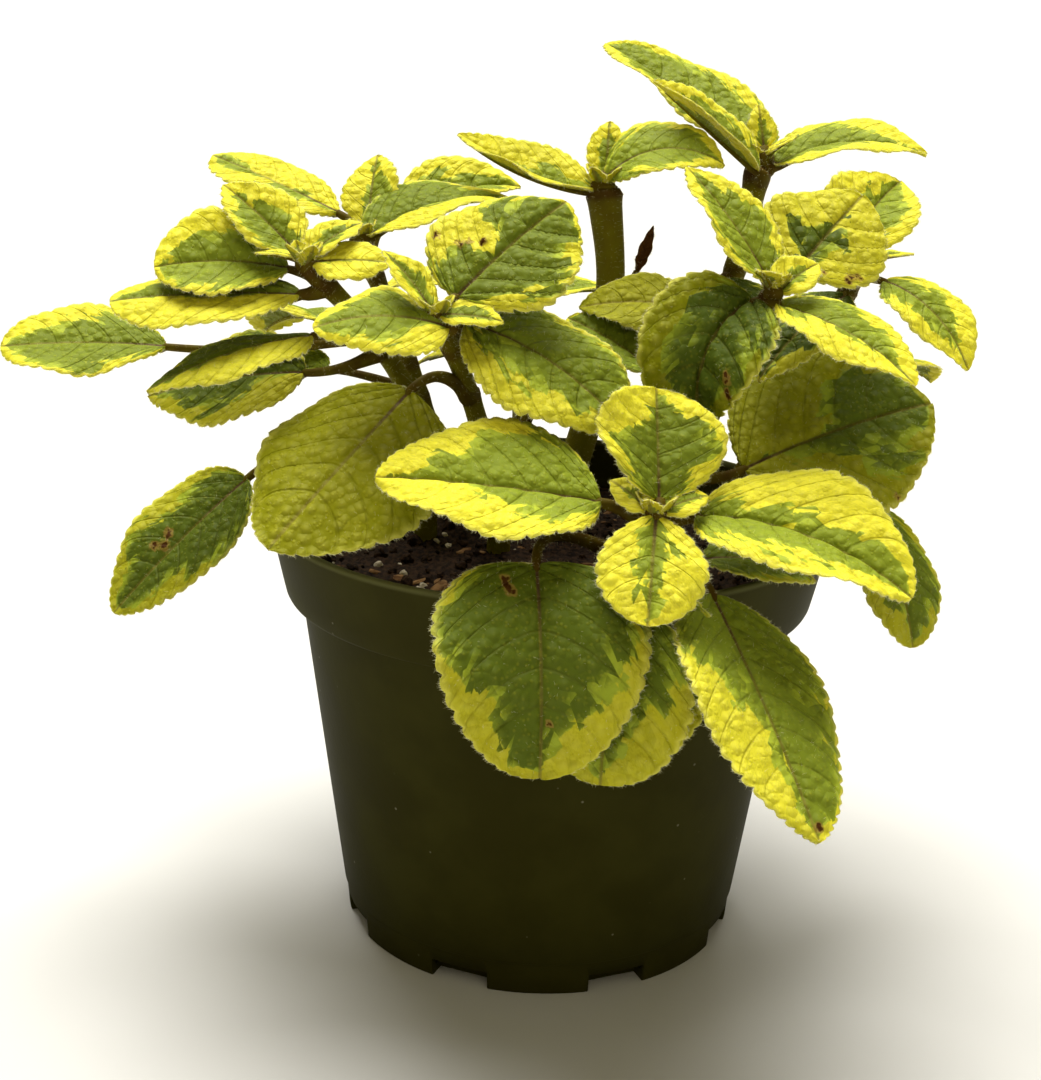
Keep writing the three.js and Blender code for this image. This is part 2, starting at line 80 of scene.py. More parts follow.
def joined_mesh(name, parts, smooth):
    """One mesh with the points, faces and values of all its parts."""
    points = np.concatenate([p["points"] for p in parts]) * MM
    quads, triangles = joined(parts, "quads"), joined(parts, "triangles")
    slots = np.concatenate([p["slots"] for p in parts] + [np.zeros(len(triangles), int)])
    corners = np.concatenate([quads.ravel(), triangles.ravel()])
    loop_starts = np.concatenate([np.arange(len(quads)) * 4,
                                  len(quads) * 4 + np.arange(len(triangles)) * 3])
    mesh = bpy.data.meshes.new(name)
    mesh.vertices.add(len(points))
    mesh.vertices.foreach_set("co", points.ravel())
    mesh.loops.add(len(corners))
    mesh.loops.foreach_set("vertex_index", corners)
    mesh.polygons.add(len(slots))
    mesh.polygons.foreach_set("loop_start", loop_starts)
    mesh.polygons.foreach_set("material_index", slots)
    mesh.polygons.foreach_set("use_smooth", np.full(len(slots), smooth))
    mesh.update(calc_edges=True)
    for key in parts[0]["values"]:
        value = np.concatenate([p["values"][key] for p in parts])
        kind, field = ("FLOAT", "value") if value.ndim == 1 else ("FLOAT_VECTOR", "vector")
        layer = mesh.attributes.new(key, kind, "POINT")
        layer.data.foreach_set(field, value.ravel())
    print(f"{name}: {len(quads) * 2 + len(triangles)} triangles")
    return mesh


# %% A piece stands for a CAD node
def link(name, data):
    """An object for some mesh, lamp or camera, put into the scene."""
    made = bpy.data.objects.new(name, data)
    bpy.context.scene.collection.objects.link(made)
    return made


def piece(name, parts, materials, stands_for, smooth=True):
    """One object made of many parts, which stands for a CAD node."""
    mesh = joined_mesh(name, parts, smooth)
    for material in materials:
        mesh.materials.append(material)
    made = link(name, mesh)
    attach(made, "root")
    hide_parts(stands_for)
    return made


# %% Lines and rings
def unit(vectors):
    """The same vectors, each one long."""
    return vectors / np.maximum(np.linalg.norm(vectors, axis=-1, keepdims=True), 1e-9)


def distances(line):
    """How far each point of a line is from its start, along the line."""
    steps = np.linalg.norm(np.diff(line, axis=0), axis=1)
    return np.concatenate([[0], np.cumsum(steps)])


def at_distances(wanted, line, values):
    """Values of three numbers a point, read at some distances along a line."""
    along = distances(line)
    return np.stack([np.interp(wanted, along, values[:, k]) for k in range(3)], axis=1)


def evenly(line, count):
    """So many points at even distances along a line."""
    return at_distances(np.linspace(0, distances(line)[-1], count), line, line)


def across_line(line):
    """Two directions across a line at each point, carried along without a twist."""
    ahead = unit(np.gradient(line, axis=0))
    start = np.cross(ahead[0], UP if abs(ahead[0][2]) < 0.9 else np.array([1.0, 0, 0]))
    side = [unit(start)]
    for way in ahead[1:]:
        side.append(unit(side[-1] - way * np.dot(side[-1], way)))
    side = np.array(side)
    return side, np.cross(ahead, side)


def ring_faces(count, sides):
    """Faces between rings of points, and a fan over each end."""
    ring, spoke = np.meshgrid(np.arange(count - 1), np.arange(sides), indexing="ij")
    following = (spoke + 1) % sides
    quads = np.stack([ring * sides + spoke, ring * sides + following,
                      (ring + 1) * sides + following, (ring + 1) * sides + spoke], -1)
    spokes = np.arange(sides)
    after = (spokes + 1) % sides
    last = (count - 1) * sides
    first_tip, last_tip = count * sides, count * sides + 1
    fans = np.concatenate([np.stack([after, spokes, np.full(sides, first_tip)], 1),
                           np.stack([last + spokes, last + after, np.full(sides, last_tip)], 1)])
    return quads.reshape(-1, 4), fans


# %% [markdown]
# ## The leaves, one by one
#
# Leaves could be scattered over the stems at random, but then none would lie
# where this plant has it. So each leaf is written down as on a drawing: where the
# base of the blade is, the way it points (degrees from +X, lift, and bend from
# base to tip), its length and width, its roll and the fold of its halves, its
# outline, and how far up the stem its stalk starts. The colouring follows: how
# far the green reaches from the midrib, as a share of the half width, at four
# places from base to tip, first on the left half seen from above with the tip
# ahead, then on the right; then how dark the green is, how much the yellow leans
# to lime, and how quilted the blade is. On leaves that hang low in the shade of
# others the dark and lime values are set higher, which paints shade into their
# colour. Marks are brown spots: place along, place across and size in
# millimetres.

# %% The leaf table
OVATE = (0.42, 0.75)
ROUND = (0.42, 0.6)
BROAD = (0.38, 0.5)
BLUNT = (0.55, 0.5)


def leaf(base, way, size, tilt, outline, start, left, right, tone, marks=()):
    """One leaf as a small record."""
    return dict(base=np.array(base, float), way=way, size=size, tilt=tilt,
                outline=outline, start=start, reach=(left, right), tone=tone, marks=marks)


# The dark and lime values of the low leaves in the shade of others are raised as painted shade.
LEAFY_STEMS = {
    "front": dict(
        path=((12, -26), (15, -38, 91), (17.5, -51.5, 103)),
        radii=(2.6, 1.8),
        leaves=(
            leaf((16.5, -52, 103.5), (146, 36, -20), (9.5, 8), (-20, 12), OVATE, 1,
                 (0.3, 0.3, 0.2, 0), (0.3, 0.3, 0.2, 0), (0.3, 0.1, 0.6)),
            leaf((18.5, -52, 103.5), (24, 24, -23), (9.5, 8.5), (22, 14), OVATE, 1,
                 (0.7, 0.6, 0.5, 0.2), (0.5, 0.4, 0.2, 0), (0.3, 0.1, 0.6)),
            leaf((18, -50.5, 105), (92, 54, -6), (22, 25.5), (18, 17), BLUNT, 0.98,
                 (0.8, 0.85, 0.35, 0), (0.75, 0.7, 0.68, 0.2), (0.6, 0.1, 1)),
            leaf((17.5, -53, 103), (264, -29, -21), (22, 19.5), (-4, 6), BLUNT, 0.97,
                 (0.35, 0.38, 0.38, 0.3), (0.35, 0.33, 0.22, 0.2), (0.35, 0.1, 1)),
            leaf((8, -47, 103.5), (187, 11, -8), (40, 32), (-24, 14), ROUND, 0.9,
                 (0.75, 0.6, 0, 0.05), (0.95, 0.97, 0.55, 0.15), (0.3, 0.05, 0.9)),
            leaf((25.5, -46, 101), (335, 10, -44), (41, 31), (17, 18), ROUND, 0.9,
                 (0.45, 0.1, 0.42, 0.4), (0.8, 0.72, 0.6, 0.3), (0.25, 0.1, 0.9)),
            leaf((28, -53.5, 89), (291.5, -28, -11), (50, 29.5), (-13, 5), ROUND, 0.7,
                 (1.1, 0.97, 0.85, 0.8), (1.1, 0.5, 0.2, 0.25), (0.45, 0.3, 0.8),
                 ((0.95, 0.2, 0.6),)),
            leaf((-3, -57, 94.5), (275, -30, -62), (38, 38), (-2, 13), BROAD, 0.55,
                 (1.05, 1, 0.6, 0.1), (1.05, 0.95, 0.55, 0.6), (0.85, 0.55, 0.8),
                 ((0.1, -0.42, 0.7), (0.13, -0.37, 0.6), (0.165, -0.31, 0.75), (0.74, 0.1, 0.5))),
            leaf((20.5, -56.5, 91), (256, -58, -28), (30, 21), (-2, 10), ROUND, 0.65,
                 (1, 0.9, 0.6, 0.2), (1, 0.9, 0.5, 0.2), (0.8, 0.6, 0.9)),
            leaf((13, -58.5, 91.5), (251, -52, -34), (34.5, 31), (2, 12), BLUNT, 0.55,
                 (1, 0.9, 0.5, 0.1), (1, 0.8, 0.5, 0.1), (0.8, 0.6, 0.9)),
            leaf((27, -43, 92), (8, 8, -40), (22.5, 16), (13, 9), OVATE, 0.75,
                 (1, 0.9, 0.9, 0.7), (1, 0.9, 0.9, 0.7), (0.7, 0.6, 0.6)),
        ),
    ),
    "centre": dict(
        path=((-10.5, 2), (-13, -6, 100), (-18, -18, 120), (-22.5, -27, 132)),
        radii=(2.6, 1.6),
        leaves=(
            leaf((-23.5, -27.5, 133), (151, 54, -21), (14.5, 10), (-5, 17), OVATE, 1,
                 (0.6, 0.5, 0.4, 0.2), (0.6, 0.5, 0.4, 0.2), (0.5, 0.1, 0.8)),
            leaf((-21.8, -28, 132.4), (350, 6, -18), (12, 9), (22, 14), OVATE, 1,
                 (0.6, 0.55, 0.4, 0.1), (0.5, 0.4, 0.3, 0.1), (0.5, 0.1, 0.6)),
            leaf((-20, -29.5, 130.5), (190, 20, -40), (25, 20.5), (-24, -3), BROAD, 0.97,
                 (0.2, 0.6, 0.7, 0.7), (0.5, 0.6, 0.6, 0.4), (0.35, 0.15, 0.9)),
            leaf((-19, -24, 135), (41, 37, -12), (31, 31), (24, 0), ROUND, 0.96,
                 (0.85, 0.15, 0.75, 0.85), (0.7, 0.85, 0.85, 0.8), (0.65, 0.2, 1.6),
                 ((0.32, 0.5, 0.6), (0.36, 0.38, 0.5), (0.4, 0.27, 0.6), (0.28, 0.85, 0.6))),
            leaf((-17, -22, 130), (341, -10, -38), (37, 31), (21, 0), ROUND, 0.88,
                 (0.95, 0.97, 0.97, 0.9), (0.35, 0.55, 0.6, 0.5), (0.5, 0.35, 1)),
            leaf((-27, -28, 118.2), (227, -33, -3), (41, 38.5), (-16, -6), ROUND, 0.7,
                 (-0.3, -0.3, -0.3, -0.3), (-0.3, -0.3, -0.3, -0.3), (0.2, 0.92, 0.8)),
        ),
    ),
    "left": dict(
        path=((-26, 10), (-27, 2, 105), (-36, -6, 124), (-48, -14, 139)),
        radii=(2.6, 1.6),
        leaves=(
            leaf((-47.5, -12.5, 139.5), (36, 39, -26), (13.5, 10), (14, 21), OVATE, 1,
                 (0.5, 0.5, 0.4, 0.2), (0.6, 0.5, 0.3, 0.1), (0.5, 0.1, 0.6)),
            leaf((-49, -13, 139.5), (169, 14, -22), (9, 6), (0, 12), OVATE, 1,
                 (0.2, 0.2, 0.1, 0), (0.2, 0.2, 0.1, 0), (0.3, 0.05, 0.5)),
            leaf((-50, -8, 139.5), (147, 37, -11), (22, 15.5), (-23, 19), OVATE, 0.98,
                 (0.8, 0.8, 0.6, 0.1), (0.6, 0.35, 0.15, 0), (0.4, 0.05, 0.9)),
            leaf((-46.5, -14, 139), (356, 9, -15), (15.5, 13), (28, 4), OVATE, 0.98,
                 (0.1, 0.1, 0, 0), (0.1, 0.1, 0, 0), (0.2, 0.05, 0.8)),
            leaf((-52, -7, 136.5), (187, 12, -24), (25.5, 24), (-34, 17), BLUNT, 0.94,
                 (0.9, 0.9, 0.9, 0.7), (0.9, 0.6, 0.5, 0.2), (0.3, 0.05, 0.8)),
            leaf((-49, -12, 132.5), (184, 2, -10), (36, 24), (-16, 0), BLUNT, 0.92,
                 (0, 0, 0, 0), (0.9, 0.9, 0.8, 0.3), (0.5, 0.1, 0.8)),
            leaf((-46.5, -14, 125), (204, -2, -26), (33.5, 21.5), (-4, -3), OVATE, 0.8,
                 (0.1, 0, 0, 0.3), (1, 1, 1, 0.8), (0.8, 0.4, 0.9)),
            leaf((-49, -6, 116), (169, -4, -17), (34, 27), (-30, 4), OVATE, 0.7,
                 (0.1, 0.6, 0.8, 0.3), (0.7, 0.9, 0.9, 0.6), (0.85, 0.5, 0.8)),
            leaf((-77, -2, 119.5), (186, 5, -11), (32, 23.5), (-24, 11), BLUNT, 0.75,
                 (0.8, 0.8, 0.8, 0.5), (0.9, 0.7, 0.6, 0.4), (0.45, 0.1, 0.4)),
            leaf((-63, 8, 90), (204, -38, -9), (39, 27), (-23, 10), ROUND, 0.4,
                 (0.9, 1, 0.6, 0.6), (0.7, 0.5, 0.9, 0.4), (0.9, 0.7, 0.5),
                 ((0.5, -0.25, 0.8), (0.56, -0.15, 0.9), (0.6, -0.3, 0.7))),
        ),
    ),
    "back_left": dict(
        path=((-22, 26), (-29, 21, 108), (-37, 14, 132), (-39.5, 6.5, 140.5)),
        radii=(2.5, 1.6),
        leaves=(
            leaf((-44.5, 14, 144.5), (163, 22.5, -6), (29.5, 20), (-14, 5), BLUNT, 0.93,
                 (0.5, 0.3, 0.2, 0.6), (0, 0, 0, 0.3), (0.3, 0.1, 0.7)),
            leaf((-38, 5, 141), (24, 34, -46), (33, 25), (6, 14), OVATE, 1,
                 (1, 1, 0.9, 0.6), (0.2, 0.2, 0.1, 0.2), (0.55, 0.2, 0.8)),
            leaf((-38.5, 14, 141.5), (87, 59, -32), (19.5, 13), (-15, 15), OVATE, 0.97,
                 (0.4, 0.1, 0, 0), (0.8, 0.6, 0.3, 0.2), (0.35, 0.05, 0.7)),
            leaf((-33, 28, 143), (11, 30, -36), (26.5, 20.5), (21, 24), OVATE, 0.86,
                 (0.6, 0.5, 0.6, 0.4), (0.9, 0.8, 0.7, 0.5), (0.25, 0.05, 0.7)),
            leaf((-46, 30, 118), (128, 12, -48), (36, 28), (10, 10), OVATE, 0.6,
                 (0.8, 0.6, 0.7, 0.3), (0.6, 0.8, 0.5, 0.3), (0.5, 0.3, 0.9)),
            leaf((-48, 24, 110), (160, -2, -38), (30, 23), (-8, 10), OVATE, 0.5,
                 (0.5, 0.3, 0.4, 0.2), (0.9, 0.8, 0.6, 0.4), (0.6, 0.3, 0.9)),
            leaf((-40, 42, 96), (118, -10, -46), (34, 27), (0, 8), ROUND, 0.35,
                 (0.9, 0.9, 0.6, 0.4), (0.8, 0.5, 0.4, 0.2), (0.8, 0.4, 0.8)),
        ),
    ),
    "tall_middle": dict(
        path=((2, 14), (8, 17, 105), (11.2, 20, 130), (9, 22, 151)),
        radii=(3.4, 2.8),
        leaves=(
            leaf((7.5, 21.5, 149.5), (175, 3, 34), (31, 21), (-13, 27), OVATE, 0.98,
                 (0.1, 0.1, 0.1, 0), (0.4, 0.3, 0.1, 0), (0.3, 0.25, 0.5)),
            leaf((9.5, 22, 152), (356, 50, -84), (26.5, 20), (27, 11), OVATE, 0.99,
                 (0.8, 0.75, 0.7, 0.4), (0.9, 0.8, 0.7, 0.3), (0.25, 0.1, 0.4)),
            leaf((9.5, 24, 152), (85, 60, -10), (13, 9), (0, 10), ROUND, 0.99,
                 (0.5, 0.4, 0.2, 0), (0.5, 0.4, 0.2, 0), (0.3, 0.05, 0.5)),
            leaf((16.5, 19.5, 133.5), (20, 69, 4), (10, 3), (60, 20), OVATE, 0.72,
                 (0, 0, 0, 0), (0, 0, 0, 0), (0.5, 0.5, 0.4),
                 ((0.5, 0, 30),)),
            leaf((10, 31, 114), (92, 4, -42), (26, 20), (0, 12), OVATE, 0.5,
                 (0.8, 0.7, 0.5, 0.3), (0.8, 0.7, 0.5, 0.3), (0.6, 0.4, 0.8)),
            leaf((-5, 27, 114), (168, 10, -38), (26, 20), (0, 12), OVATE, 0.5,
                 (0.7, 0.5, 0.5, 0.3), (0.9, 0.7, 0.5, 0.3), (0.6, 0.4, 0.8)),
        ),
    ),
    "tall_right": dict(
        path=((24, 24), (33, 29, 112), (39, 33, 136), (42.5, 36, 155)),
        radii=(2.9, 2.1),
        leaves=(
            leaf((44.3, 40, 156), (156, 31, -4), (43.5, 31), (-9, 17), BROAD, 0.98,
                 (0.85, 0.8, 0.85, 0.6), (0.85, 0.75, 0.8, 0.75), (0.35, 0.05, 0.5)),
            leaf((41.5, 30, 153.5), (183, 38, 0), (29, 17.5), (-14, 32), OVATE, 0.96,
                 (0.3, 0.3, 0.2, 0.1), (0.75, 0.7, 0.5, 0.1), (0.35, 0.05, 0.6)),
            leaf((45.5, 36, 154), (357, 32, -52), (33, 23.5), (13, 15), OVATE, 0.97,
                 (0.75, 0.8, 0.5, 0.1), (0.7, 0.5, 0.3, 0), (0.35, 0.05, 0.6)),
            leaf((43, 36, 157.5), (104, 65, -9), (10, 7), (0, 12), OVATE, 1,
                 (0.5, 0.4, 0.3, 0), (0.5, 0.4, 0.3, 0), (0.3, 0.05, 0.6)),
            leaf((43, 34, 156.5), (11, 34, -9), (8, 5.5), (0, 12), OVATE, 1,
                 (0.4, 0.3, 0.2, 0), (0.5, 0.4, 0.2, 0), (0.3, 0.05, 0.6)),
            leaf((46, 44, 136), (62, 16, -46), (34, 26), (0, 12), OVATE, 0.75,
                 (0.6, 0.5, 0.3, 0.2), (0.8, 0.9, 0.7, 0.4), (0.45, 0.2, 0.9)),
            leaf((36, 29, 131), (268, -14, -44), (25, 19), (0, 12), OVATE, 0.7,
                 (0.9, 0.9, 0.8, 0.5), (0.9, 0.8, 0.8, 0.6), (1, 0.5, 1)),
        ),
    ),
    "right": dict(
        path=((20, -2), (26, -6, 100), (35, -12, 122), (40, -18, 137)),
        radii=(2.7, 1.7),
        leaves=(
            leaf((40.6, -19.6, 136.8), (28, 42, -25), (10, 10), (28, 20), ROUND, 1,
                 (0.4, 0.4, 0.3, 0), (0.5, 0.4, 0.2, 0), (0.3, 0.05, 0.8)),
            leaf((39.5, -19, 138), (240, 40, -19), (7, 5.5), (0, 20), OVATE, 1,
                 (0.3, 0.3, 0.2, 0), (0.3, 0.3, 0.2, 0), (0.3, 0.05, 0.6)),
            leaf((39, -18, 138), (140, 53, -18), (28.5, 18.5), (-6, 17), OVATE, 0.98,
                 (0.8, 0.78, 0.72, 0.5), (0.85, 0.65, 0.5, 0.3), (0.35, 0.05, 0.8)),
            leaf((45, -8, 138.8), (46, 34, -3), (24.5, 26.5), (32, 2), ROUND, 0.95,
                 (0.2, 0.5, 0.1, -0.3), (0.1, 0.35, 0.05, -0.3), (0.95, 0.4, 1.3),
                 ((0.2, -0.8, 0.6), (0.24, -0.76, 0.7), (0.3, -0.82, 0.5), (0.12, -0.5, 0.4))),
            leaf((40.5, -20, 134.5), (325, -4, -33), (31, 22), (8, 8), OVATE, 0.95,
                 (0.95, 0.85, 0.5, 0.25), (0.5, 0.1, 0.1, 0.25), (0.35, 0.05, 0.9)),
            leaf((36, -18.5, 134.5), (223, -4, -111), (29, 27), (-22, 22), ROUND, 0.93,
                 (1, 1, 0.9, 0.5), (0.65, 0.6, 0.7, 0.3), (1, 1, 2),
                 ((0.62, 0.55, 0.5), (0.66, 0.62, 0.6), (0.72, 0.7, 0.6), (0.76, 0.82, 0.5))),
            leaf((26, 0, 130), (172, 8, -23), (22, 16.5), (-31, 10), OVATE, 0.86,
                 (-0.3, -0.3, -0.3, -0.3), (-0.3, -0.3, -0.3, -0.3), (0.2, 0.85, 0.8)),
            leaf((19.5, -8, 118.5), (152, 31, -16), (21.5, 17), (-18, 17), ROUND, 0.6,
                 (0.95, 0.9, 0.9, 0.8), (0.95, 0.9, 0.9, 0.8), (0.6, 0.3, 1)),
            leaf((37.5, -10, 100), (20, 22, -14), (43, 42), (40, 4), ROUND, 0.42,
                 (-0.1, -0.05, 0.8, 0.75), (-0.1, 0.3, 0.75, 0.7), (0.85, 0.9, 1.1),
                 ((0.6, -0.93, 0.5),)),
        ),
    ),
    "far_right": dict(
        path=((36, 14), (48, 18, 104), (57, 16, 124), (59.5, 6, 138)),
        radii=(2.5, 1.6),
        leaves=(
            leaf((57, 8, 140), (53, 44, -29), (26, 21.5), (26, 25), OVATE, 0.97,
                 (0.6, 0.5, 0.3, 0.3), (0.6, 0.75, 0.7, 0.4), (0.2, 0.05, 0.6)),
            leaf((63.5, -2, 136.5), (316, -8, -54), (25.5, 18.5), (9, 8), OVATE, 0.95,
                 (0.7, 0.5, 0.2, 0), (0.95, 0.55, 0.35, 0.3), (0.35, 0.05, 0.6)),
            leaf((61.5, 2, 140.5), (9, 10, -10), (8.5, 6), (0, 12), OVATE, 1,
                 (0.5, 0.4, 0.3, 0.1), (0.5, 0.4, 0.3, 0.1), (0.3, 0.05, 0.5)),
            leaf((68, 8, 88), (291, -42, -24), (31, 22.5), (-17, 8), BLUNT, 0.35,
                 (0.8, 0.9, 0.9, 0.6), (0.9, 0.5, 0.7, 0), (0.75, 0.7, 0.7)),
            leaf((61, 22, 116), (34, 4, -40), (29, 23), (0, 10), OVATE, 0.65,
                 (0.8, 0.6, 0.3, 0.2), (0.7, 0.8, 0.5, 0.3), (0.5, 0.2, 0.8)),
            leaf((58, 7, 132), (214, -20, -30), (27, 19), (-10, 10), OVATE, 0.9,
                 (0.8, 0.9, 0.6, 0.3), (0.9, 0.8, 0.7, 0.4), (1, 0.5, 1)),
        ),
    ),
    "back": dict(
        path=((-5, 34), (-7, 44, 102), (-9, 53, 124)),
        radii=(2.5, 1.6),
        leaves=(
            leaf((-9, 54, 125), (100, 40, -20), (11, 8), (0, 14), OVATE, 1,
                 (0.4, 0.4, 0.2, 0), (0.4, 0.4, 0.2, 0), (0.3, 0.05, 0.6)),
            leaf((-9, 53, 125), (280, 50, -20), (9, 7), (0, 14), OVATE, 1,
                 (0.4, 0.4, 0.2, 0), (0.4, 0.4, 0.2, 0), (0.3, 0.05, 0.6)),
            leaf((-5, 54, 121), (14, 20, -40), (25, 20), (0, 12), OVATE, 0.93,
                 (0.7, 0.6, 0.4, 0.2), (0.8, 0.7, 0.5, 0.2), (0.35, 0.1, 0.8)),
            leaf((-13, 54, 122), (198, 24, -40), (27, 21), (0, 12), OVATE, 0.95,
                 (0.8, 0.7, 0.5, 0.2), (0.4, 0.3, 0.2, 0.1), (0.4, 0.1, 0.8)),
            leaf((-9, 60, 112), (98, 6, -56), (36, 29), (0, 10), ROUND, 0.75,
                 (0.8, 0.6, 0.8, 0.3), (0.9, 0.9, 0.5, 0.3), (0.5, 0.2, 1)),
            leaf((2, 54, 98), (52, -8, -50), (37, 30), (0, 8), ROUND, 0.5,
                 (0.5, 0.7, 0.9, 0.5), (0.8, 0.4, 0.5, 0.2), (0.7, 0.4, 1)),
        ),
    ),
    "back_right": dict(
        path=((19, 40), (25, 50, 97), (33, 58, 113)),
        radii=(2.4, 1.5),
        leaves=(
            leaf((34, 59, 114), (30, 40, -20), (10, 7), (0, 14), OVATE, 1,
                 (0.4, 0.4, 0.2, 0), (0.4, 0.4, 0.2, 0), (0.3, 0.05, 0.6)),
            leaf((32, 57.5, 114), (215, 45, -20), (9, 7), (0, 14), OVATE, 1,
                 (0.4, 0.4, 0.2, 0), (0.4, 0.4, 0.2, 0), (0.3, 0.05, 0.6)),
            leaf((32, 62, 112), (112, 20, -44), (25, 20), (0, 12), OVATE, 0.95,
                 (0.8, 0.7, 0.5, 0.2), (0.6, 0.4, 0.3, 0.1), (0.35, 0.1, 0.8)),
            leaf((38, 56, 111), (310, 24, -44), (22, 17), (0, 12), OVATE, 0.95,
                 (0.5, 0.3, 0.2, 0.1), (0.8, 0.7, 0.6, 0.2), (0.4, 0.1, 0.8)),
            leaf((44, 54, 98), (24, -4, -50), (36, 29), (0, 8), ROUND, 0.6,
                 (0.9, 0.8, 0.6, 0.4), (0.6, 0.7, 0.5, 0.2), (0.55, 0.25, 1)),
        ),
    ),
}

count_of_leaves = sum(len(spec["leaves"]) for spec in LEAFY_STEMS.values())
print("leaves in the table:", count_of_leaves)

# %% [markdown]
# ## The shape of a blade
#
# A blade is a bent sheet. A flat plane could be bent with modifiers, but a formula
# gives every leaf its own bend from the table. The midrib is an arc, the width
# swells and closes along a sine, and each half leaves the midrib at the fold angle
# and cups down towards the edge.

# %% Midrib and width
def midrib(leaf, u):
    """Place, heading, side and up along the midrib, at u from 0 to 1."""
    turned, lifted, bend = np.radians(leaf["way"])
    if abs(bend) < 1e-6:
        bend = 1e-6
    lift = lifted + bend * u
    ahead = np.array([math.cos(turned), math.sin(turned), 0])
    level = np.array([-math.sin(turned), math.cos(turned), 0])
    reach = leaf["size"][0] * (np.sin(lift) - math.sin(lifted)) / bend
    rise = leaf["size"][0] * (math.cos(lifted) - np.cos(lift)) / bend
    place = leaf["base"] + reach[..., None] * ahead + rise[..., None] * UP
    along = np.cos(lift)[..., None] * ahead + np.sin(lift)[..., None] * UP
    above = np.cross(along, level)
    roll = math.radians(leaf["tilt"][0])
    side = math.cos(roll) * level + math.sin(roll) * above
    return place, along, side, np.cross(along, side)


def half_width(leaf, u):
    """Half the width of the blade at u."""
    widest, full = leaf["outline"]
    power = math.log(0.5) / math.log(widest)
    return leaf["size"][1] / 2 * np.sin(math.pi * np.clip(u, 0, 0.9999) ** power) ** full


# %% Points of the sheet
CUP = -10
RIPPLE = 0.03
RIPPLES = 9


def blade_point(leaf, u, v, lift):
    """Points of the blade at u, v and a height over its middle layer."""
    place, along, side, up = midrib(leaf, u)
    half = half_width(leaf, u)
    fold, cup = math.radians(leaf["tilt"][1]), math.radians(CUP)
    angle = fold + cup * np.abs(v)
    out = half * np.sign(v) * (np.sin(angle) - math.sin(fold)) / cup
    rise = half * (math.cos(fold) - np.cos(angle)) / cup
    normal = (up * np.cos(angle)[..., None]
              - side * (np.sign(v) * np.sin(angle))[..., None])
    phase = leaf["base"][0] + leaf["base"][2] + np.where(v > 0, 2, 0)
    wave = RIPPLE * leaf["size"][1] * v * v * np.sin(RIPPLES * u + phase) * np.sin(math.pi * u)
    return place + side * out[..., None] + up * rise[..., None] + normal * (wave + lift)[..., None]


# %% [markdown]
# Curved side veins run from the midrib forwards to the edge, and the skin between
# them bulges, which gives the quilted look. A bump in the material alone would
# leave the outline of the leaf smooth, so the large bulges are real and only the
# finest are left to the material.

# %% Veins and bulges
VEIN_LEAN = 0.58
CELL = 2.6
BULGE_SHARE = 0.75
CELL_SHARE = 0.15
GROOVE_SHARE = 0.35
GROOVE_WIDTH = 0.7
QUILT_TO_WIDTH = 0.024
DEEPEST_QUILT = 0.75


def vein_number(leaf, u, v):
    """Counts the side veins: it is a whole number on each vein."""
    pairs = round(3.6 + 0.065 * leaf["size"][0])
    lean = min(0.45, VEIN_LEAN * leaf["size"][1] / leaf["size"][0])
    outward = np.abs(v) ** 1.4 * lean
    return pairs * (u - outward) / (1 - 0.8 * outward)


def relief(leaf, u, v):
    """How far the skin bulges from the plain sheet, in millimetres."""
    number = vein_number(leaf, u, v)
    across = np.abs(v) * half_width(leaf, u)
    bulge = np.abs(np.sin(math.pi * number)) ** 0.6
    cells = (np.sin(math.pi * (across / CELL + 0.5 * np.floor(2 * number))) ** 2
             * np.abs(np.sin(2 * math.pi * number)) ** 0.8)
    edge = 1 - 0.6 * np.clip((np.abs(v) - 0.8) / 0.2, 0, 1)
    edge = edge * np.clip((0.97 - u) / 0.12, 0, 1)
    amount = leaf["tone"][2] * min(DEEPEST_QUILT, QUILT_TO_WIDTH * leaf["size"][1])
    groove = np.exp(-(across / GROOVE_WIDTH) ** 2)
    return amount * ((BULGE_SHARE * bulge + CELL_SHARE * cells) * edge * (1 - groove)
                     - GROOVE_SHARE * groove)


# %% [markdown]
# ## One blade
#
# The blade is a grid of points, closed with an under side and a rim so that it is
# a solid sheet. The edge has small blunt teeth about two millimetres apart. They
# could be cut out of the sheet, but it is simpler to pull the outermost columns of
# the grid in between the teeth, four rows to a tooth.

# %% The toothed grid
TOOTH_PITCH = 2.2
TOOTH_DEPTH = 0.75
TOOTH_SHAPE = np.array([0.0, 0.62, 0.95, 0.9])
UNEVEN_TEETH = (0.55, 1.3)
EDGE_TO_LENGTH = 1.2
COLUMN = 1.05
COLUMNS_AT_MIDRIB = [0.35, 0.75]


def toothed_grid(leaf):
    """Places along, across, and across after the edge is pulled in."""
    length, width = leaf["size"]
    rows = 4 * max(5, round(EDGE_TO_LENGTH * length / TOOTH_PITCH))
    step = np.linspace(0.006, 0.994, rows + 1)
    along = 0.5 * (1 - np.cos(math.pi * step))
    outer = np.linspace(1.2, width / 2, max(4, round(width / 2 / COLUMN)))
    half = np.concatenate([COLUMNS_AT_MIDRIB, outer]) * 2 / width
    u, v = np.meshgrid(along, np.concatenate([-half[::-1], [0], half]), indexing="ij")
    tooth = TOOTH_SHAPE[np.arange(rows + 1) % 4]
    depth = TOOTH_DEPTH * min(1, 0.4 + 0.02 * length) * rng.uniform(*UNEVEN_TEETH, rows + 1)
    notch = np.minimum(depth * (1 - tooth) / np.maximum(half_width(leaf, along), 1), 0.22)
    near_edge = np.clip((np.abs(v) - 0.72) / 0.28, 0, 1) ** 2
    return u, v, v * (1 - notch[:, None] * near_edge)


# %% Faces of a closed sheet
UPPER, LOWER = 0, 1


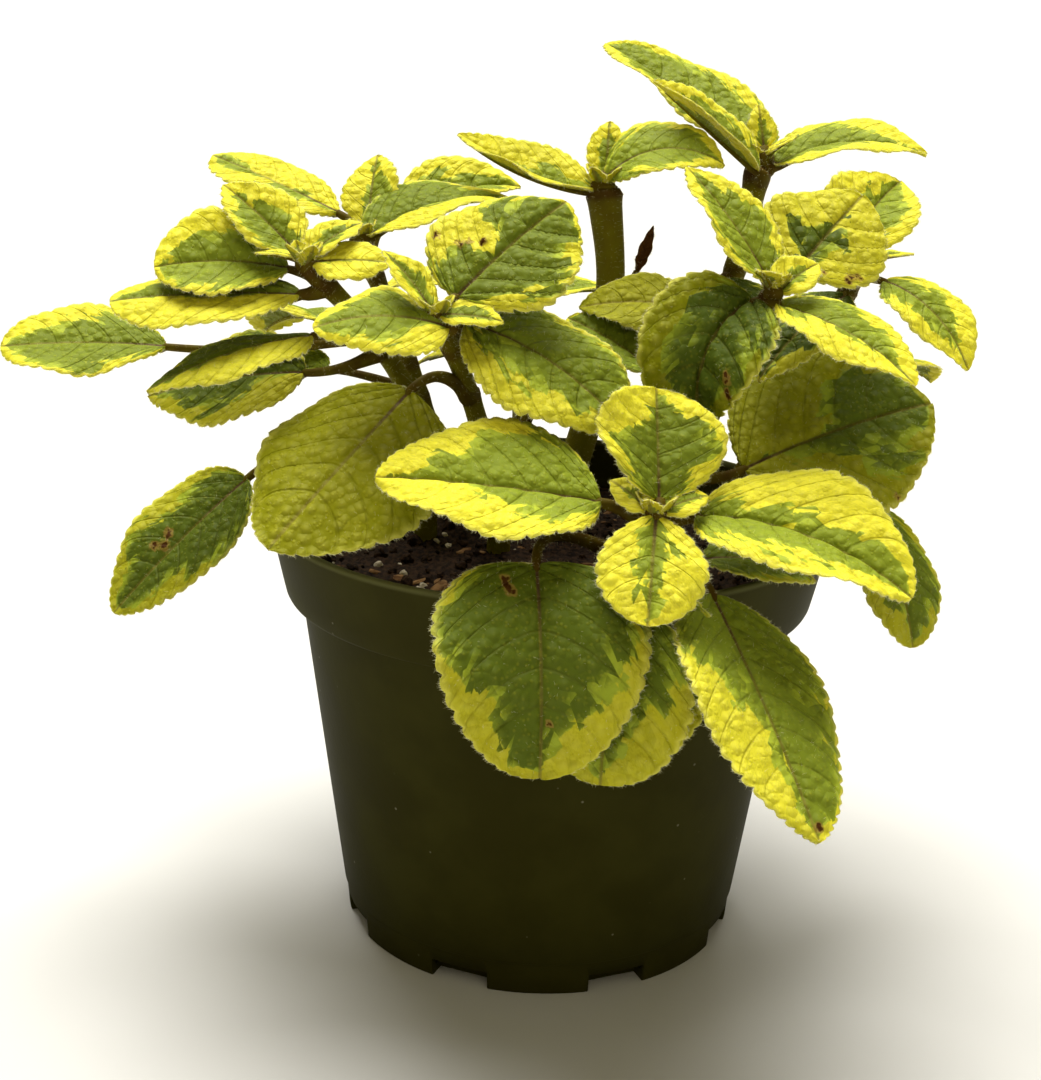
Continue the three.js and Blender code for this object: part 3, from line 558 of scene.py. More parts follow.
def sheet_faces(rows, columns):
    """Quads of the upper side, the under side and the rim, and their materials."""
    count = rows * columns
    index = np.arange(count).reshape(rows, columns)
    under = index + count
    upper = np.stack([index[:-1, :-1], index[1:, :-1], index[1:, 1:], index[:-1, 1:]], -1)
    lower = np.stack([under[:-1, :-1], under[:-1, 1:], under[1:, 1:], under[1:, :-1]], -1)
    ring = np.concatenate([index[:, 0], index[-1, 1:], index[-2::-1, -1], index[0, -2:0:-1]])
    after = np.roll(ring, -1)
    rim = np.stack([after, ring, ring + count, after + count], 1)
    quads = np.concatenate([upper.reshape(-1, 4), lower.reshape(-1, 4), rim])
    slots = np.repeat([UPPER, LOWER, UPPER], [upper.size // 4, lower.size // 4, len(rim)])
    return quads, slots


# %% Values for the skin
STATIONS = (0.14, 0.4, 0.66, 0.88)


def blade_values(leaf, number, u, v):
    """What the skin reads: veins, paint, brown marks and the way to the rim."""
    left, right = leaf["reach"]
    reach = np.where(v > 0, np.interp(u, STATIONS, left), np.interp(u, STATIONS, right))
    closing = np.clip((u - 0.93) / 0.06, 0, 1)
    green = reach * (1 - closing) - 0.1 * closing - np.abs(v)
    dark, lime_and_shade, _ = leaf["tone"]
    brown = np.zeros_like(u)
    across = v * half_width(leaf, u)
    for mark_u, mark_v, size in leaf["marks"]:
        middle = mark_v * half_width(leaf, np.array(mark_u))
        away = np.hypot((u - mark_u) * leaf["size"][0], across - middle)
        brown = np.maximum(brown, 1 - away / size / 2)
    own_number = vein_number(leaf, u, v) + 37 * number + np.where(v > 0, 11, 0)
    values = dict(
        veins=np.stack([own_number, np.abs(across), u], -1).reshape(-1, 3),
        paint=np.stack([green, np.full_like(u, dark), np.full_like(u, lime_and_shade)], -1).reshape(-1, 3),
        brown=brown.ravel(),
        rim=np.abs(v).ravel())
    return {key: np.concatenate([value, value]) for key, value in values.items()}


# %% The blade itself
SAG_TO_WIDTH = 0.012
HALF_THICKNESS = 0.25
THINNER_EDGE = 0.13


def blade(leaf, number):
    """A thin closed sheet, and its two faces for the hairs to stand on."""
    u, v, shifted = toothed_grid(leaf)
    wander = rng.uniform(0, 6, 4)
    sag = SAG_TO_WIDTH * leaf["size"][1] * np.abs(v) * (
        np.sin(7 * u + 3 * v + wander[0]) + np.sin(13 * u - 4 * v + wander[1]))
    bulge = relief(leaf, u, shifted) + sag
    thin = HALF_THICKNESS - THINNER_EDGE * np.abs(v) ** 2
    top = blade_point(leaf, u, shifted, bulge + thin)
    bottom = blade_point(leaf, u, shifted, bulge - thin)
    quads, slots = sheet_faces(*u.shape)
    points = np.concatenate([top.reshape(-1, 3), bottom.reshape(-1, 3)])
    made = part(points, quads, quad_slots=slots, **blade_values(leaf, number, u, v))
    return made, top, bottom


# %% [markdown]
# ## Stems and stalks
#
# A stem leaves the soil upright and then follows its path. It is slightly square
# in section, as in all plants of the mint family, and swells a little where a pair
# of leaves stands on it. A curve with a bevel would be quicker to make but is even
# in section, so stems and stalks are rings of points along a line, and each ring
# has a radius of its own.

# %% A tube along a line
def tube(line, radii, sides, square=0.0, **values):
    """A closed tube along a line; square makes its section a rounded square."""
    side, above = across_line(line)
    turn = np.arange(sides) * 2 * math.pi / sides
    reach = np.asarray(radii)[:, None] * (1 + square * np.cos(4 * turn))[None]
    points = (line[:, None]
              + reach[..., None] * np.cos(turn)[None, :, None] * side[:, None]
              + reach[..., None] * np.sin(turn)[None, :, None] * above[:, None])
    quads, fans = ring_faces(len(line), sides)
    spread = {key: np.concatenate([np.repeat(value, sides), value[:1], value[-1:]])
              for key, value in values.items()}
    all_points = np.concatenate([points.reshape(-1, 3), line[:1], line[-1:]])
    return part(all_points, quads, fans, **spread)


# %% The line of a stem
STEM_FOOT = 66
SOIL_LEVEL = 78
STEPS_PER_KNOT = 30


def stem_line(path):
    """A smooth centripetal curve through the path, as many short steps."""
    foot, *rest = path
    knots = np.array([(*foot, z) for z in (STEM_FOOT, SOIL_LEVEL - 3, SOIL_LEVEL + 4)]
                     + list(rest), float)
    knots = np.concatenate([[2 * knots[0] - knots[1]], knots, [2 * knots[-1] - knots[-2]]])
    t = np.linspace(0, 1, STEPS_PER_KNOT, endpoint=False)[:, None]
    pieces = []
    for p0, p1, p2, p3 in zip(knots, knots[1:], knots[2:], knots[3:]):
        gap0, gap1, gap2 = (np.linalg.norm(b - a) ** 0.5
                            for a, b in ((p0, p1), (p1, p2), (p2, p3)))
        leave = gap1 * ((p1 - p0) / gap0 - (p2 - p0) / (gap0 + gap1) + (p2 - p1) / gap1)
        arrive = gap1 * ((p2 - p1) / gap1 - (p3 - p1) / (gap1 + gap2) + (p3 - p2) / gap2)
        pieces.append(p1 + leave * t + (3 * (p2 - p1) - 2 * leave - arrive) * t ** 2
                      + (2 * (p1 - p2) + leave + arrive) * t ** 3)
    return np.concatenate(pieces + [knots[-2:-1]])


# %% A stem
RING_STEP = 1.2
STEM_SIDES = 16
SQUARENESS = 0.05
STEM_SHARE = 0.95
SWELLING = 0.1
SWELLING_LENGTH = 1.7
CROWN = 0.28
CROWN_LENGTH = 11


def stem_part(line, radii, starts):
    """The stem itself, with a swelling at each pair of leaves and a stout top."""
    length = distances(line)[-1]
    count = int(length / RING_STEP)
    share = np.linspace(0, 1, count)
    to_tip = (1 - share) * length
    swell = sum(np.exp(-((share - s) * length / SWELLING_LENGTH) ** 2) for s in set(starts))
    crown = np.exp(-(to_tip / CROWN_LENGTH) ** 2)
    radius = radii[0] + (radii[1] - radii[0]) * share
    radius = radius * STEM_SHARE * (1 + SWELLING * np.minimum(swell, 1.5) + CROWN * crown)
    rounded = np.clip(1 - to_tip / radii[1], 0, 1)
    radius = radius * np.sqrt(np.clip(1 - rounded ** 2, 0.03, 1))
    tint = np.clip(0.08 + 0.45 * swell + 0.35 * share, 0, 1)
    return tube(evenly(line, count), radius, STEM_SIDES, SQUARENESS, tint=tint)


# %% [markdown]
# Each stalk bends from the stem to the base of its blade and goes on under the
# blade as the ridge of the midrib. Where it leaves the stem it widens, so that
# the two seem grown together.

# %% A stalk
STALK_SIDES = 9
FLARE = 0.75
FLARE_LENGTH = 3.5


def stalk_part(leaf, line, stem_radius):
    """A stalk that goes on as the ridge under the blade."""
    start = evenly(line, 401)[round(leaf["start"] * 400)]
    place, along, _, _ = midrib(leaf, np.array([0.0]))
    base, ahead = place[0], along[0]
    reach = np.linalg.norm(base - start)
    control = base - ahead * reach / 2
    t = np.linspace(0, 1, max(5, int(reach / RING_STEP)))[:, None]
    stalk = start * (1 - t) ** 2 + 2 * control * t * (1 - t) + base * t ** 2
    thick = 0.5 + 0.014 * leaf["size"][0]
    under = np.linspace(0.03, 0.88, max(6, int(leaf["size"][0] / 1.5)))
    ridge_radius = thick * (0.75 - 0.6 * under)
    flat = np.zeros_like(under)
    sunk = relief(leaf, under, flat) - 0.1 - 0.8 * ridge_radius
    ridge = blade_point(leaf, under, flat, sunk)
    flare = FLARE * stem_radius * np.exp(-t[:, 0] * reach / FLARE_LENGTH)
    radii = np.concatenate([thick * (1.1 - 0.28 * t[:, 0]) + flare, ridge_radius])
    tint = np.concatenate([np.full(len(stalk), 0.75), 0.8 - 0.9 * under])
    return tube(np.concatenate([stalk, ridge]), radii, STALK_SIDES, tint=np.clip(tint, 0, 1))


# %% [markdown]
# ## Hairs
#
# The whole plant is softly hairy. The fringe along the edges of the leaves shows
# most, so it is the densest. Blender can grow hair of its own, but that isn't a
# mesh and wouldn't leave Blender with the model. So each hair is a closed spike
# with three sides, from 0.4 to 1.05 mm long.

# %% Spikes
HAIR_ROOT = 0.1
HAIR_RADIUS = 0.028
FINE_RADIUS = 0.018


def hairs(feet, ways, lengths, radius):
    """Thin closed spikes, one at each foot."""
    count = len(feet)
    ways = unit(ways)
    across = unit(np.cross(ways, unit(rng.normal(size=(count, 3)))))
    other = np.cross(ways, across)
    turns = np.arange(3) * 2 * math.pi / 3
    base = (feet[:, None] - HAIR_ROOT * ways[:, None]
            + radius * np.cos(turns)[None, :, None] * across[:, None]
            + radius * np.sin(turns)[None, :, None] * other[:, None])
    tips = feet + ways * lengths[:, None]
    points = np.concatenate([base, tips[:, None]], axis=1).reshape(-1, 3)
    first = np.arange(count)[:, None] * 4
    shape = np.array([[0, 2, 1], [0, 1, 3], [1, 2, 3], [2, 0, 3]])
    return part(points, triangles=(first[..., None] + shape[None]).reshape(-1, 3))


# %% The fringe of a blade
EDGE_HAIRS = 6.5
EDGE_LENGTHS = (0.4, 0.85)


def edge_hairs(top, bottom):
    """A fringe on both edges of a blade, so many hairs to a millimetre."""
    feet, ways = [], []
    for edge, inner in ((0, 1), (-1, -2)):
        middle = (top[:, edge] + bottom[:, edge]) / 2
        outward = unit(middle - (top[:, inner] + bottom[:, inner]) / 2)
        length = distances(middle)[-1]
        spots = rng.uniform(0, length, int(EDGE_HAIRS * length))
        feet.append(at_distances(spots, middle, middle))
        ways.append(at_distances(spots, middle, outward))
    feet, ways = np.concatenate(feet), np.concatenate(ways)
    ways = ways + 0.45 * rng.normal(size=ways.shape)
    return hairs(feet, ways, rng.uniform(*EDGE_LENGTHS, len(feet)), HAIR_RADIUS)


# %% The down of a face
FACE_HAIRS = 0.25
UNDER_HAIRS = 0.2
FACE_LENGTHS = (0.45, 1.05)


def face_hairs(surface, density, facing):
    """Hairs on one face of a blade, so many to a square millimetre."""
    across = np.gradient(surface, axis=1)
    along = np.gradient(surface, axis=0)
    normal = np.cross(along, across) * facing
    area = np.linalg.norm(normal, axis=2)
    count = int(density * area.sum())
    spots = rng.choice(area.size, count, p=area.ravel() / area.sum())
    shift = rng.uniform(-0.5, 0.5, (2, count, 1))
    feet = (surface.reshape(-1, 3)[spots] + shift[0] * across.reshape(-1, 3)[spots]
            + shift[1] * along.reshape(-1, 3)[spots])
    ways = unit(normal.reshape(-1, 3)[spots]) + 0.4 * rng.normal(size=(count, 3))
    return hairs(feet, ways, rng.uniform(*FACE_LENGTHS, count), FINE_RADIUS)


# %% The down of a stem or stalk
STEM_HAIRS = 1.5
STEM_LENGTHS = (0.4, 0.9)


def tube_hairs(made, sides):
    """Hairs on a stem or a stalk, above the soil."""
    line_count = (len(made["points"]) - 2) // sides
    rings = made["points"][:line_count * sides].reshape(line_count, sides, 3)
    centres = rings.mean(axis=1, keepdims=True)
    out = unit(rings - centres)
    around = np.linalg.norm(rings - np.roll(rings, 1, axis=1), axis=2).sum(1).mean()
    count = int(STEM_HAIRS * around * distances(centres[:, 0])[-1])
    ring, spoke = rng.integers(0, line_count, count), rng.integers(0, sides, count)
    near = rings[ring, spoke] + rng.normal(size=(count, 3)) * 0.25
    above = near[:, 2] > SOIL_LEVEL + 1
    ways = out[ring, spoke] + 0.3 * rng.normal(size=(count, 3))
    centre = centres[ring, 0]
    radius = np.linalg.norm(rings[ring, spoke] - centre, axis=1)[:, None]
    feet = centre + unit(near - centre) * radius
    lengths = rng.uniform(*STEM_LENGTHS, above.sum())
    return hairs(feet[above], ways[above], lengths, FINE_RADIUS)


# %% [markdown]
# ## Wiring a material
#
# A material in Blender is a graph of nodes. The graph could be drawn by hand in
# the shader editor, but code can repeat it and be read again later. This class
# keeps one material and adds nodes to it with short names: a value is a number, a
# colour or the output of another node.

# %% Short ways to wire a material
class Skin:
    """One material and the nodes added to it."""

    def __init__(self, name):
        self.material = bpy.data.materials.new(name)
        self.material.use_nodes = True
        self.tree = self.material.node_tree
        self.shader = self.tree.nodes["Principled BSDF"]

    def node(self, kind, **settings):
        made = self.tree.nodes.new(kind)
        for key, value in settings.items():
            setattr(made, key, value)
        return made

    def put(self, socket, value):
        if isinstance(value, bpy.types.NodeSocket):
            self.tree.links.new(value, socket)
        elif isinstance(value, tuple) and len(value) == 3 and socket.type == "RGBA":
            socket.default_value = (*value, 1)
        else:
            socket.default_value = value

    def math(self, operation, *values):
        made = self.node("ShaderNodeMath", operation=operation)
        for socket, value in zip(made.inputs, values):
            self.put(socket, value)
        return made.outputs[0]

    def add(self, a, b):
        return self.math("ADD", a, b)

    def times(self, a, b):
        return self.math("MULTIPLY", a, b)

    def swing(self, value, width):
        """A value from 0 to 1, made into a swing of that width about nought."""
        return self.math("MULTIPLY_ADD", value, width, -width / 2)

    def smooth(self, value, low, high):
        """0 up to low, 1 from high on, and a soft step between them."""
        made = self.node("ShaderNodeMapRange", interpolation_type="SMOOTHSTEP")
        self.put(made.inputs["Value"], value)
        self.put(made.inputs["From Min"], low)
        self.put(made.inputs["From Max"], high)
        return made.outputs[0]

    def fade(self, value, low, high):
        """1 up to low, 0 from high on, and a soft step between them."""
        return self.math("SUBTRACT", 1.0, self.smooth(value, low, high))

    def mix(self, share, a, b):
        """Colour a, with that share of colour b."""
        made = self.node("ShaderNodeMix", data_type="RGBA")
        self.put(made.inputs["Factor"], share)
        self.put(made.inputs[6], a)
        self.put(made.inputs[7], b)
        return made.outputs[2]

    def attribute(self, name):
        return self.node("ShaderNodeAttribute", attribute_name=name)

    def split(self, vector):
        made = self.node("ShaderNodeSeparateXYZ")
        self.put(made.inputs[0], vector)
        return made.outputs

    def join(self, x, y, z):
        made = self.node("ShaderNodeCombineXYZ")
        for socket, value in zip(made.inputs, (x, y, z)):
            self.put(socket, value)
        return made.outputs[0]

    def noise(self, vector, scale, detail=2.0):
        made = self.node("ShaderNodeTexNoise")
        self.put(made.inputs["Vector"], vector)
        self.put(made.inputs["Scale"], scale)
        self.put(made.inputs["Detail"], detail)
        return made.outputs["Fac"]

    def cells(self, vector, scale):
        """Random cells: a colour for each, and the distance from its middle."""
        made = self.node("ShaderNodeTexVoronoi")
        self.put(made.inputs["Vector"], vector)
        self.put(made.inputs["Scale"], scale)
        return made.outputs["Color"], made.outputs["Distance"]

    def place(self):
        return self.node("ShaderNodeTexCoord").outputs["Object"]

    def bump(self, height, distance):
        made = self.node("ShaderNodeBump")
        self.put(made.inputs["Height"], height)
        made.inputs["Distance"].default_value = distance
        self.put(self.shader.inputs["Normal"], made.outputs[0])

    def finish(self, color, roughness, **others):
        self.put(self.shader.inputs["Base Color"], color)
        self.put(self.shader.inputs["Roughness"], roughness)
        for key, value in others.items():
            self.put(self.shader.inputs[key.replace("_", " ")], value)
        return self.material


# %% [markdown]
# ## Leaf skin
#
# The yellow edge and the green middle are two tissues of the plant, and the border
# between them steps from vein to vein. It could be painted on a picture, but the
# picture would have to be made for each leaf. So the border is read from the paint
# on the points and moved about by a random value in each small cell between the
# veins. Inside the green there is a paler layer next to the yellow and a darker
# one in the middle.

# %% Yellow, pale and dark zones
def zones(skin, green, number, across):
    """How green, mid green, dark green and mottled the skin is."""
    net = skin.join(skin.times(number, 2.5), skin.times(across, 0.45), 0.0)
    sector_a, sector_b, _ = skin.split(skin.cells(net, 0.4)[0])
    random_a, random_b, random_c = skin.split(skin.cells(net, 1.0)[0])
    fine = skin.noise(net, 6.0, 3.0)
    step = skin.add(skin.swing(sector_a, 0.36), skin.swing(random_a, 0.16))
    border = skin.add(green, skin.add(step, skin.swing(fine, 0.08)))
    is_green = skin.smooth(border, -0.012, 0.02)
    inner_step = skin.math("MULTIPLY_ADD", skin.add(sector_b, random_b), 0.28, -0.28)
    inner = skin.add(border, inner_step)
    is_mid = skin.times(skin.smooth(inner, 0.02, 0.1), is_green)
    is_dark = skin.times(skin.smooth(inner, -0.05, 0.25), is_green)
    mottle = skin.smooth(skin.add(fine, skin.times(random_c, 0.4)), 0.55, 0.95)
    return is_green, is_mid, is_dark, mottle


# %% [markdown]
# The veins are thin dark lines, faint on the yellow and clearer on the green;
# the dark line is partly the colour of the vein and partly painted shade in its
# groove. The midrib is a brown line that turns purple near the stalk. Between the
# veins the skin is covered with small round pillows and finer pale dots. They could
# be modelled, but would need millions of faces, so they are cells of a pattern that
# runs through space. The tops of the pillows are painted paler, a painted highlight.

# %% Veins and midrib
MIDRIB = (0.2, 0.16, 0.03)
PURPLE = (0.1, 0.055, 0.03)


def drawn_veins(skin, color, veins, is_green, lime_and_shade_amount, vein):
    """The colour with veins and midrib drawn on it, and the side veins alone."""
    number, across, along = veins
    # Darker lines along the side veins: partly the veins' own colour, partly painted shade in their
    # grooves.
    line = skin.fade(skin.math("PINGPONG", number, 0.5), 0.0, 0.075)
    line = skin.times(line, skin.fade(along, 0.8, 0.88))
    on_green = skin.math("MULTIPLY_ADD", is_green, 0.13, 0.03)
    darkness = skin.math("MULTIPLY_ADD", lime_and_shade_amount, 0.1, on_green)
    color = skin.mix(skin.times(line, darkness), color, vein)
    mid_line = skin.fade(across, 0.15, 0.5)
    color = skin.mix(skin.times(mid_line, 0.6), color, MIDRIB)
    near_base = skin.fade(along, 0.0, 0.45)
    return skin.mix(skin.times(mid_line, near_base), color, PURPLE), line


# %% Pillows, dots and scorch marks
# Pale colour of the hairy rim, also used for the painted highlight on the pillow tops.
PALE_RIM_AND_HIGHLIGHT = (0.8, 0.76, 0.16)
BROWN = (0.07, 0.025, 0.004)
TAN = (0.3, 0.19, 0.04)
PILLOW_SCALE = 480.0
DOT_SCALE = 950.0
SCORCH_SCALE = 900.0


def small_rounds(skin):
    """Pillows of about two millimetres, and finer dots."""
    pillow = skin.fade(skin.cells(skin.place(), PILLOW_SCALE)[1], 0.0, 0.8)
    dot = skin.fade(skin.cells(skin.place(), DOT_SCALE)[1], 0.1, 0.42)
    return pillow, dot


def scorched(skin, color):
    """The colour with its brown marks, tan around and dark in the middle."""
    brown = skin.attribute("brown").outputs["Fac"]
    uneven = skin.swing(skin.noise(skin.place(), SCORCH_SCALE), 1.2)
    hurt = skin.math("MULTIPLY_ADD", uneven, skin.smooth(brown, 0.0, 0.3), brown)
    color = skin.mix(skin.times(skin.smooth(hurt, 0.1, 0.35), 0.7), color, TAN)
    return skin.mix(skin.smooth(hurt, 0.4, 0.6), color, BROWN)


# %% Both skins of the leaves
YELLOW = (0.83, 0.76, 0.045)
# Dull olive lime: the tone of older margins, and partly painted shade for leaves in the shade.
LIME_AND_SHADE = (0.19, 0.2, 0.001)
BUMP_DEPTH = 0.0007


def leaf_skin(name, yellow, lime_and_shade, pale, mid, dark, vein, rough):
    """The colours of one face of the leaves."""
    skin = Skin(name)
    veins = skin.split(skin.attribute("veins").outputs["Vector"])
    green, darkness, lime_and_shade_amount = skin.split(skin.attribute("paint").outputs["Vector"])
    is_green, is_mid, is_dark, mottle = zones(skin, green, veins[0], veins[1])
    # The lime and the dark green are partly the leaf's own tone and partly painted shade on low,
    # shaded leaves.
    color = skin.mix(lime_and_shade_amount, yellow, lime_and_shade)
    color = skin.mix(skin.times(mottle, 0.3), color, lime_and_shade)
    color = skin.mix(is_green, color, skin.mix(lime_and_shade_amount, pale, mid))
    color = skin.mix(skin.times(is_mid, 0.75), color, mid)
    color = skin.mix(skin.times(is_dark, darkness), color, dark)
    color, line = drawn_veins(skin, color, veins, is_green, lime_and_shade_amount, vein)

    pillow, dot = small_rounds(skin)
    # Painted highlight: the tops of the pillows are painted paler, more on the yellow than on the
    # green.
    pillow_highlight = skin.math("MULTIPLY_ADD", is_green, -0.1, 0.12)
    color = skin.mix(skin.times(pillow, pillow_highlight), color, PALE_RIM_AND_HIGHLIGHT)
    color = skin.mix(skin.times(dot, 0.07), color, YELLOW)
    at_rim = skin.smooth(skin.attribute("rim").outputs["Fac"], 0.9, 1.0)
    color = skin.mix(skin.times(at_rim, 0.45), color, PALE_RIM_AND_HIGHLIGHT)

    height = skin.math("MULTIPLY_ADD", pillow, 0.7, skin.times(line, -0.26))
    skin.bump(skin.math("MULTIPLY_ADD", dot, 0.14, height), BUMP_DEPTH)
    return skin.finish(scorched(skin, color), rough, Subsurface_Weight=0.35,
                       Subsurface_Scale=0.001, Subsurface_Radius=(1.0, 1.0, 0.2),
                       Specular_IOR_Level=0.06)


upper_skin = leaf_skin(
    "leaf_upper_skin", YELLOW, LIME_AND_SHADE, pale=(0.38, 0.45, 0.036), mid=(0.25, 0.31, 0.02),
    dark=(0.065, 0.095, 0.007), vein=(0.1, 0.1, 0.012), rough=0.55)
lower_skin = leaf_skin(
    "leaf_lower_skin", (0.5, 0.44, 0.02), (0.28, 0.29, 0.01), pale=(0.24, 0.28, 0.03),
    mid=(0.18, 0.2, 0.025), dark=(0.1, 0.12, 0.015), vein=(0.3, 0.26, 0.05), rough=0.65)
print("nodes in the upper skin:", len(upper_skin.node_tree.nodes))

# %% [markdown]
# The stems are olive green and turn purple at each pair of leaves and towards the
# tip. The colour could follow the height alone, but it is uneven on the plant, so
# a noise shifts the border. The hairs are clear on the plant; glass would make the
# render slow and grainy, so they are plain and pale.

# %% Stem skin and hair
STEM_GREEN = (0.15, 0.135, 0.003)
STEM_PURPLE = (0.06, 0.03, 0.004)

stem = Skin("stem_skin")
patches = stem.swing(stem.noise(stem.place(), 300.0, 3.0), 0.8)
purple_share = stem.add(stem.attribute("tint").outputs["Fac"], patches)
stem_color = stem.mix(stem.smooth(purple_share, 0.1, 1.1), STEM_GREEN, STEM_PURPLE)
stem_skin = stem.finish(stem_color, 0.6, Subsurface_Weight=0.1, Subsurface_Scale=0.001,
                        Specular_IOR_Level=0.05)

hair_skin = Skin("hair_skin").finish((0.85, 0.83, 0.5), 0.6)

# %% [markdown]
# ## Growing the stems
#
# Every stem ends in a bud. Its four scales are the next leaves, still only a few
# millimetres long, and they close over the tip. They are small blades too, so the
# same function makes them. Then each stem gets three pieces, one for each finish:
# blades, stalks and hairs.

# %% The bud at a tip
BUD_SCALES = 4
BUD_SIZE = (5.2, 4.4)
BUD_LIFT = 48
BUD_BEND = 12
BUD_FOLD = 24


def bud(line, radius):
    """The unopened leaves at the tip of a stem."""
    tip, spin = line[-1], rng.uniform(20, 70)
    scales = []
    for k in range(BUD_SCALES):
        turn = spin + 360 * k / BUD_SCALES
        out = np.array([math.cos(math.radians(turn)), math.sin(math.radians(turn)), 0])
        base = tip + 0.45 * radius * out - (0, 0, 0.5)
        scales.append(leaf(base, (turn, BUD_LIFT, BUD_BEND), BUD_SIZE, (0, BUD_FOLD), ROUND, 1,
                           (0.4, 0.5, 0.4, 0.1), (0.5, 0.4, 0.3, 0.1), (0.3, 0.25, 0.6)))
    return scales


# %% Grow every leafy stem
for stem_name, spec in LEAFY_STEMS.items():
    node = "leafy_stem_" + stem_name
    line = stem_line(spec["path"])
    trunk = stem_part(line, spec["radii"], [one["start"] for one in spec["leaves"]])
    stalks = [stalk_part(one, line, spec["radii"][1]) for one in spec["leaves"]]
    blades, fuzz = [], [tube_hairs(trunk, STEM_SIDES)]
    for number, one in enumerate(list(spec["leaves"]) + bud(line, spec["radii"][1])):
        made, top, bottom = blade(one, number + 1)
        blades.append(made)
        fuzz.append(edge_hairs(top, bottom))
        fuzz.append(face_hairs(top, FACE_HAIRS, 1))
        fuzz.append(face_hairs(bottom, UNDER_HAIRS, -1))
    fuzz += [tube_hairs(made, STALK_SIDES) for made in stalks]
    piece("blades_" + stem_name, blades, [upper_skin, lower_skin], node)
    piece("stalks_" + stem_name, [trunk] + stalks, [stem_skin], node)
    piece("hairs_" + stem_name, fuzz, [hair_skin], node, smooth=False)
    print(f"{node}: {len(stalks)} leaves on a stem of {distances(line)[-1]:.0f} mm")

# %% [markdown]
# ## The pot
#
# A thermoformed nursery pot: thin dark green plastic, a broad rim band, a fine
# step near the foot, and notches and holes that drain it. A cylinder could be
# edited by hand, but the whole pot is round, so it is turned from one outline, as
# on a lathe. Each point of the outline is a radius and a height in millimetres, up
# the outside and down the inside.

# %% Outline of the pot
FOOT = [(0, 0), (20, 0), (40.4, 0), (40.85, 0.12), (41.0, 0.5)]
STEP = [(41.3, 4), (41.55, 6.8), (41.75, 7.05), (41.98, 7.3)]
WALL = [(44.5, 26), (47.3, 47), (50.45, 70.6), (50.6, 71.5)]
BAND = [(50.9, 71.9), (51.4, 72.05), (53.0, 72.05), (53.5, 72.2), (53.75, 72.7),
        (54.5, 76), (56.7, 86.2)]
LIP = [(57.0, 87.2), (57.0, 87.6), (56.8, 87.92), (56.4, 88), (56.0, 88), (55.7, 87.85),
       (55.55, 87.4)]
INSIDE = [(54.6, 83), (52.4, 73.8), (51.9, 73.3), (49.6, 72.9), (49.15, 72.4), (49.0, 71),
          (43.0, 26), (39.8, 2.4), (39.3, 1.9), (38.6, 1.8), (20, 1.8), (0, 1.8)]


def turned(outline, sides):
    """A closed shape turned from an outline that starts and ends on the axis."""
    outline = np.array(outline, float)
    turn = np.arange(sides) * 2 * math.pi / sides
    rings = outline[1:-1]
    points = np.stack([rings[:, 0, None] * np.cos(turn), rings[:, 0, None] * np.sin(turn),
                       np.repeat(rings[:, 1, None], sides, 1)], -1).reshape(-1, 3)
    quads, fans = ring_faces(len(rings), sides)
    ends = np.array([(0, 0, outline[0, 1]), (0, 0, outline[-1, 1])])
    return part(np.concatenate([points, ends]), quads, fans)


# %% [markdown]
# The plastic is a very dark green and almost matte, with a little dust on it.
# The top of the lip is painted paler, a painted highlight where it catches the
# light. Dust could be strewn as tiny pieces, but specks in the colour do as well
# at this size.

# %% Pot plastic
POT_DARK = (0.0285, 0.0262, 0.0038)
POT_LIGHT = (0.0365, 0.0345, 0.0055)
DUST = (0.3, 0.28, 0.2)
# Painted highlight along the top of the lip.
LIP_HIGHLIGHT = (0.1, 0.1, 0.035)

plastic = Skin("pot_plastic")
spot_place = plastic.place()
grain = plastic.noise(spot_place, 60.0, 4.0)
speck_color, speck_distance = plastic.cells(spot_place, 420.0)
few = plastic.smooth(plastic.split(speck_color)[0], 0.93, 0.97)
speck = plastic.times(few, plastic.fade(speck_distance, 0.05, 0.16))
# Near the top of the lip the colour turns paler: a painted highlight.
lip_highlight = plastic.smooth(plastic.split(spot_place)[2], 0.0866, 0.0877)
plastic_color = plastic.mix(plastic.smooth(grain, 0.35, 0.7), POT_DARK, POT_LIGHT)
plastic_color = plastic.mix(plastic.times(speck, 0.5), plastic_color, DUST)
plastic_color = plastic.mix(lip_highlight, plastic_color, LIP_HIGHLIGHT)
plastic_rough = plastic.math("MULTIPLY_ADD", grain, 0.16, 0.46)
plastic.bump(plastic.noise(spot_place, 900.0), 0.00003)
pot_plastic = plastic.finish(plastic_color, plastic_rough, Specular_IOR_Level=0.02)

# %% Turn the pot
POT_SIDES = 192

outline = FOOT + STEP + WALL + BAND + LIP + INSIDE
pot = piece("pot_shell", [turned(outline, POT_SIDES)], [pot_plastic], "nursery_pot")

# %% [markdown]
# Eight notches let water run out from under the foot, and six holes drain the
# floor. Their edges have to be crisp, so boxes and rods are made in code and taken
# out of the pot with a Boolean step, which is applied at once.

# %% Cutters
def cutter(made):
    """A bare object for a cut, which is removed after it."""
    mesh = bpy.data.meshes.new("cutter")
    faces = made["quads"].tolist() + made["triangles"].tolist()
    mesh.from_pydata((made["points"] * MM).tolist(), [], faces)
    return link("cutter", mesh)


def cut(target, tool):
    """Takes the tool out of the target for good."""
    step = target.modifiers.new("cut", "BOOLEAN")
    step.operation = "DIFFERENCE"
    step.solver = "EXACT"
    step.object = tool
    graph = bpy.context.evaluated_depsgraph_get()
    result = bpy.data.meshes.new_from_object(target.evaluated_get(graph))
    target.modifiers.clear()
    target.data = result
    bpy.data.objects.remove(tool)


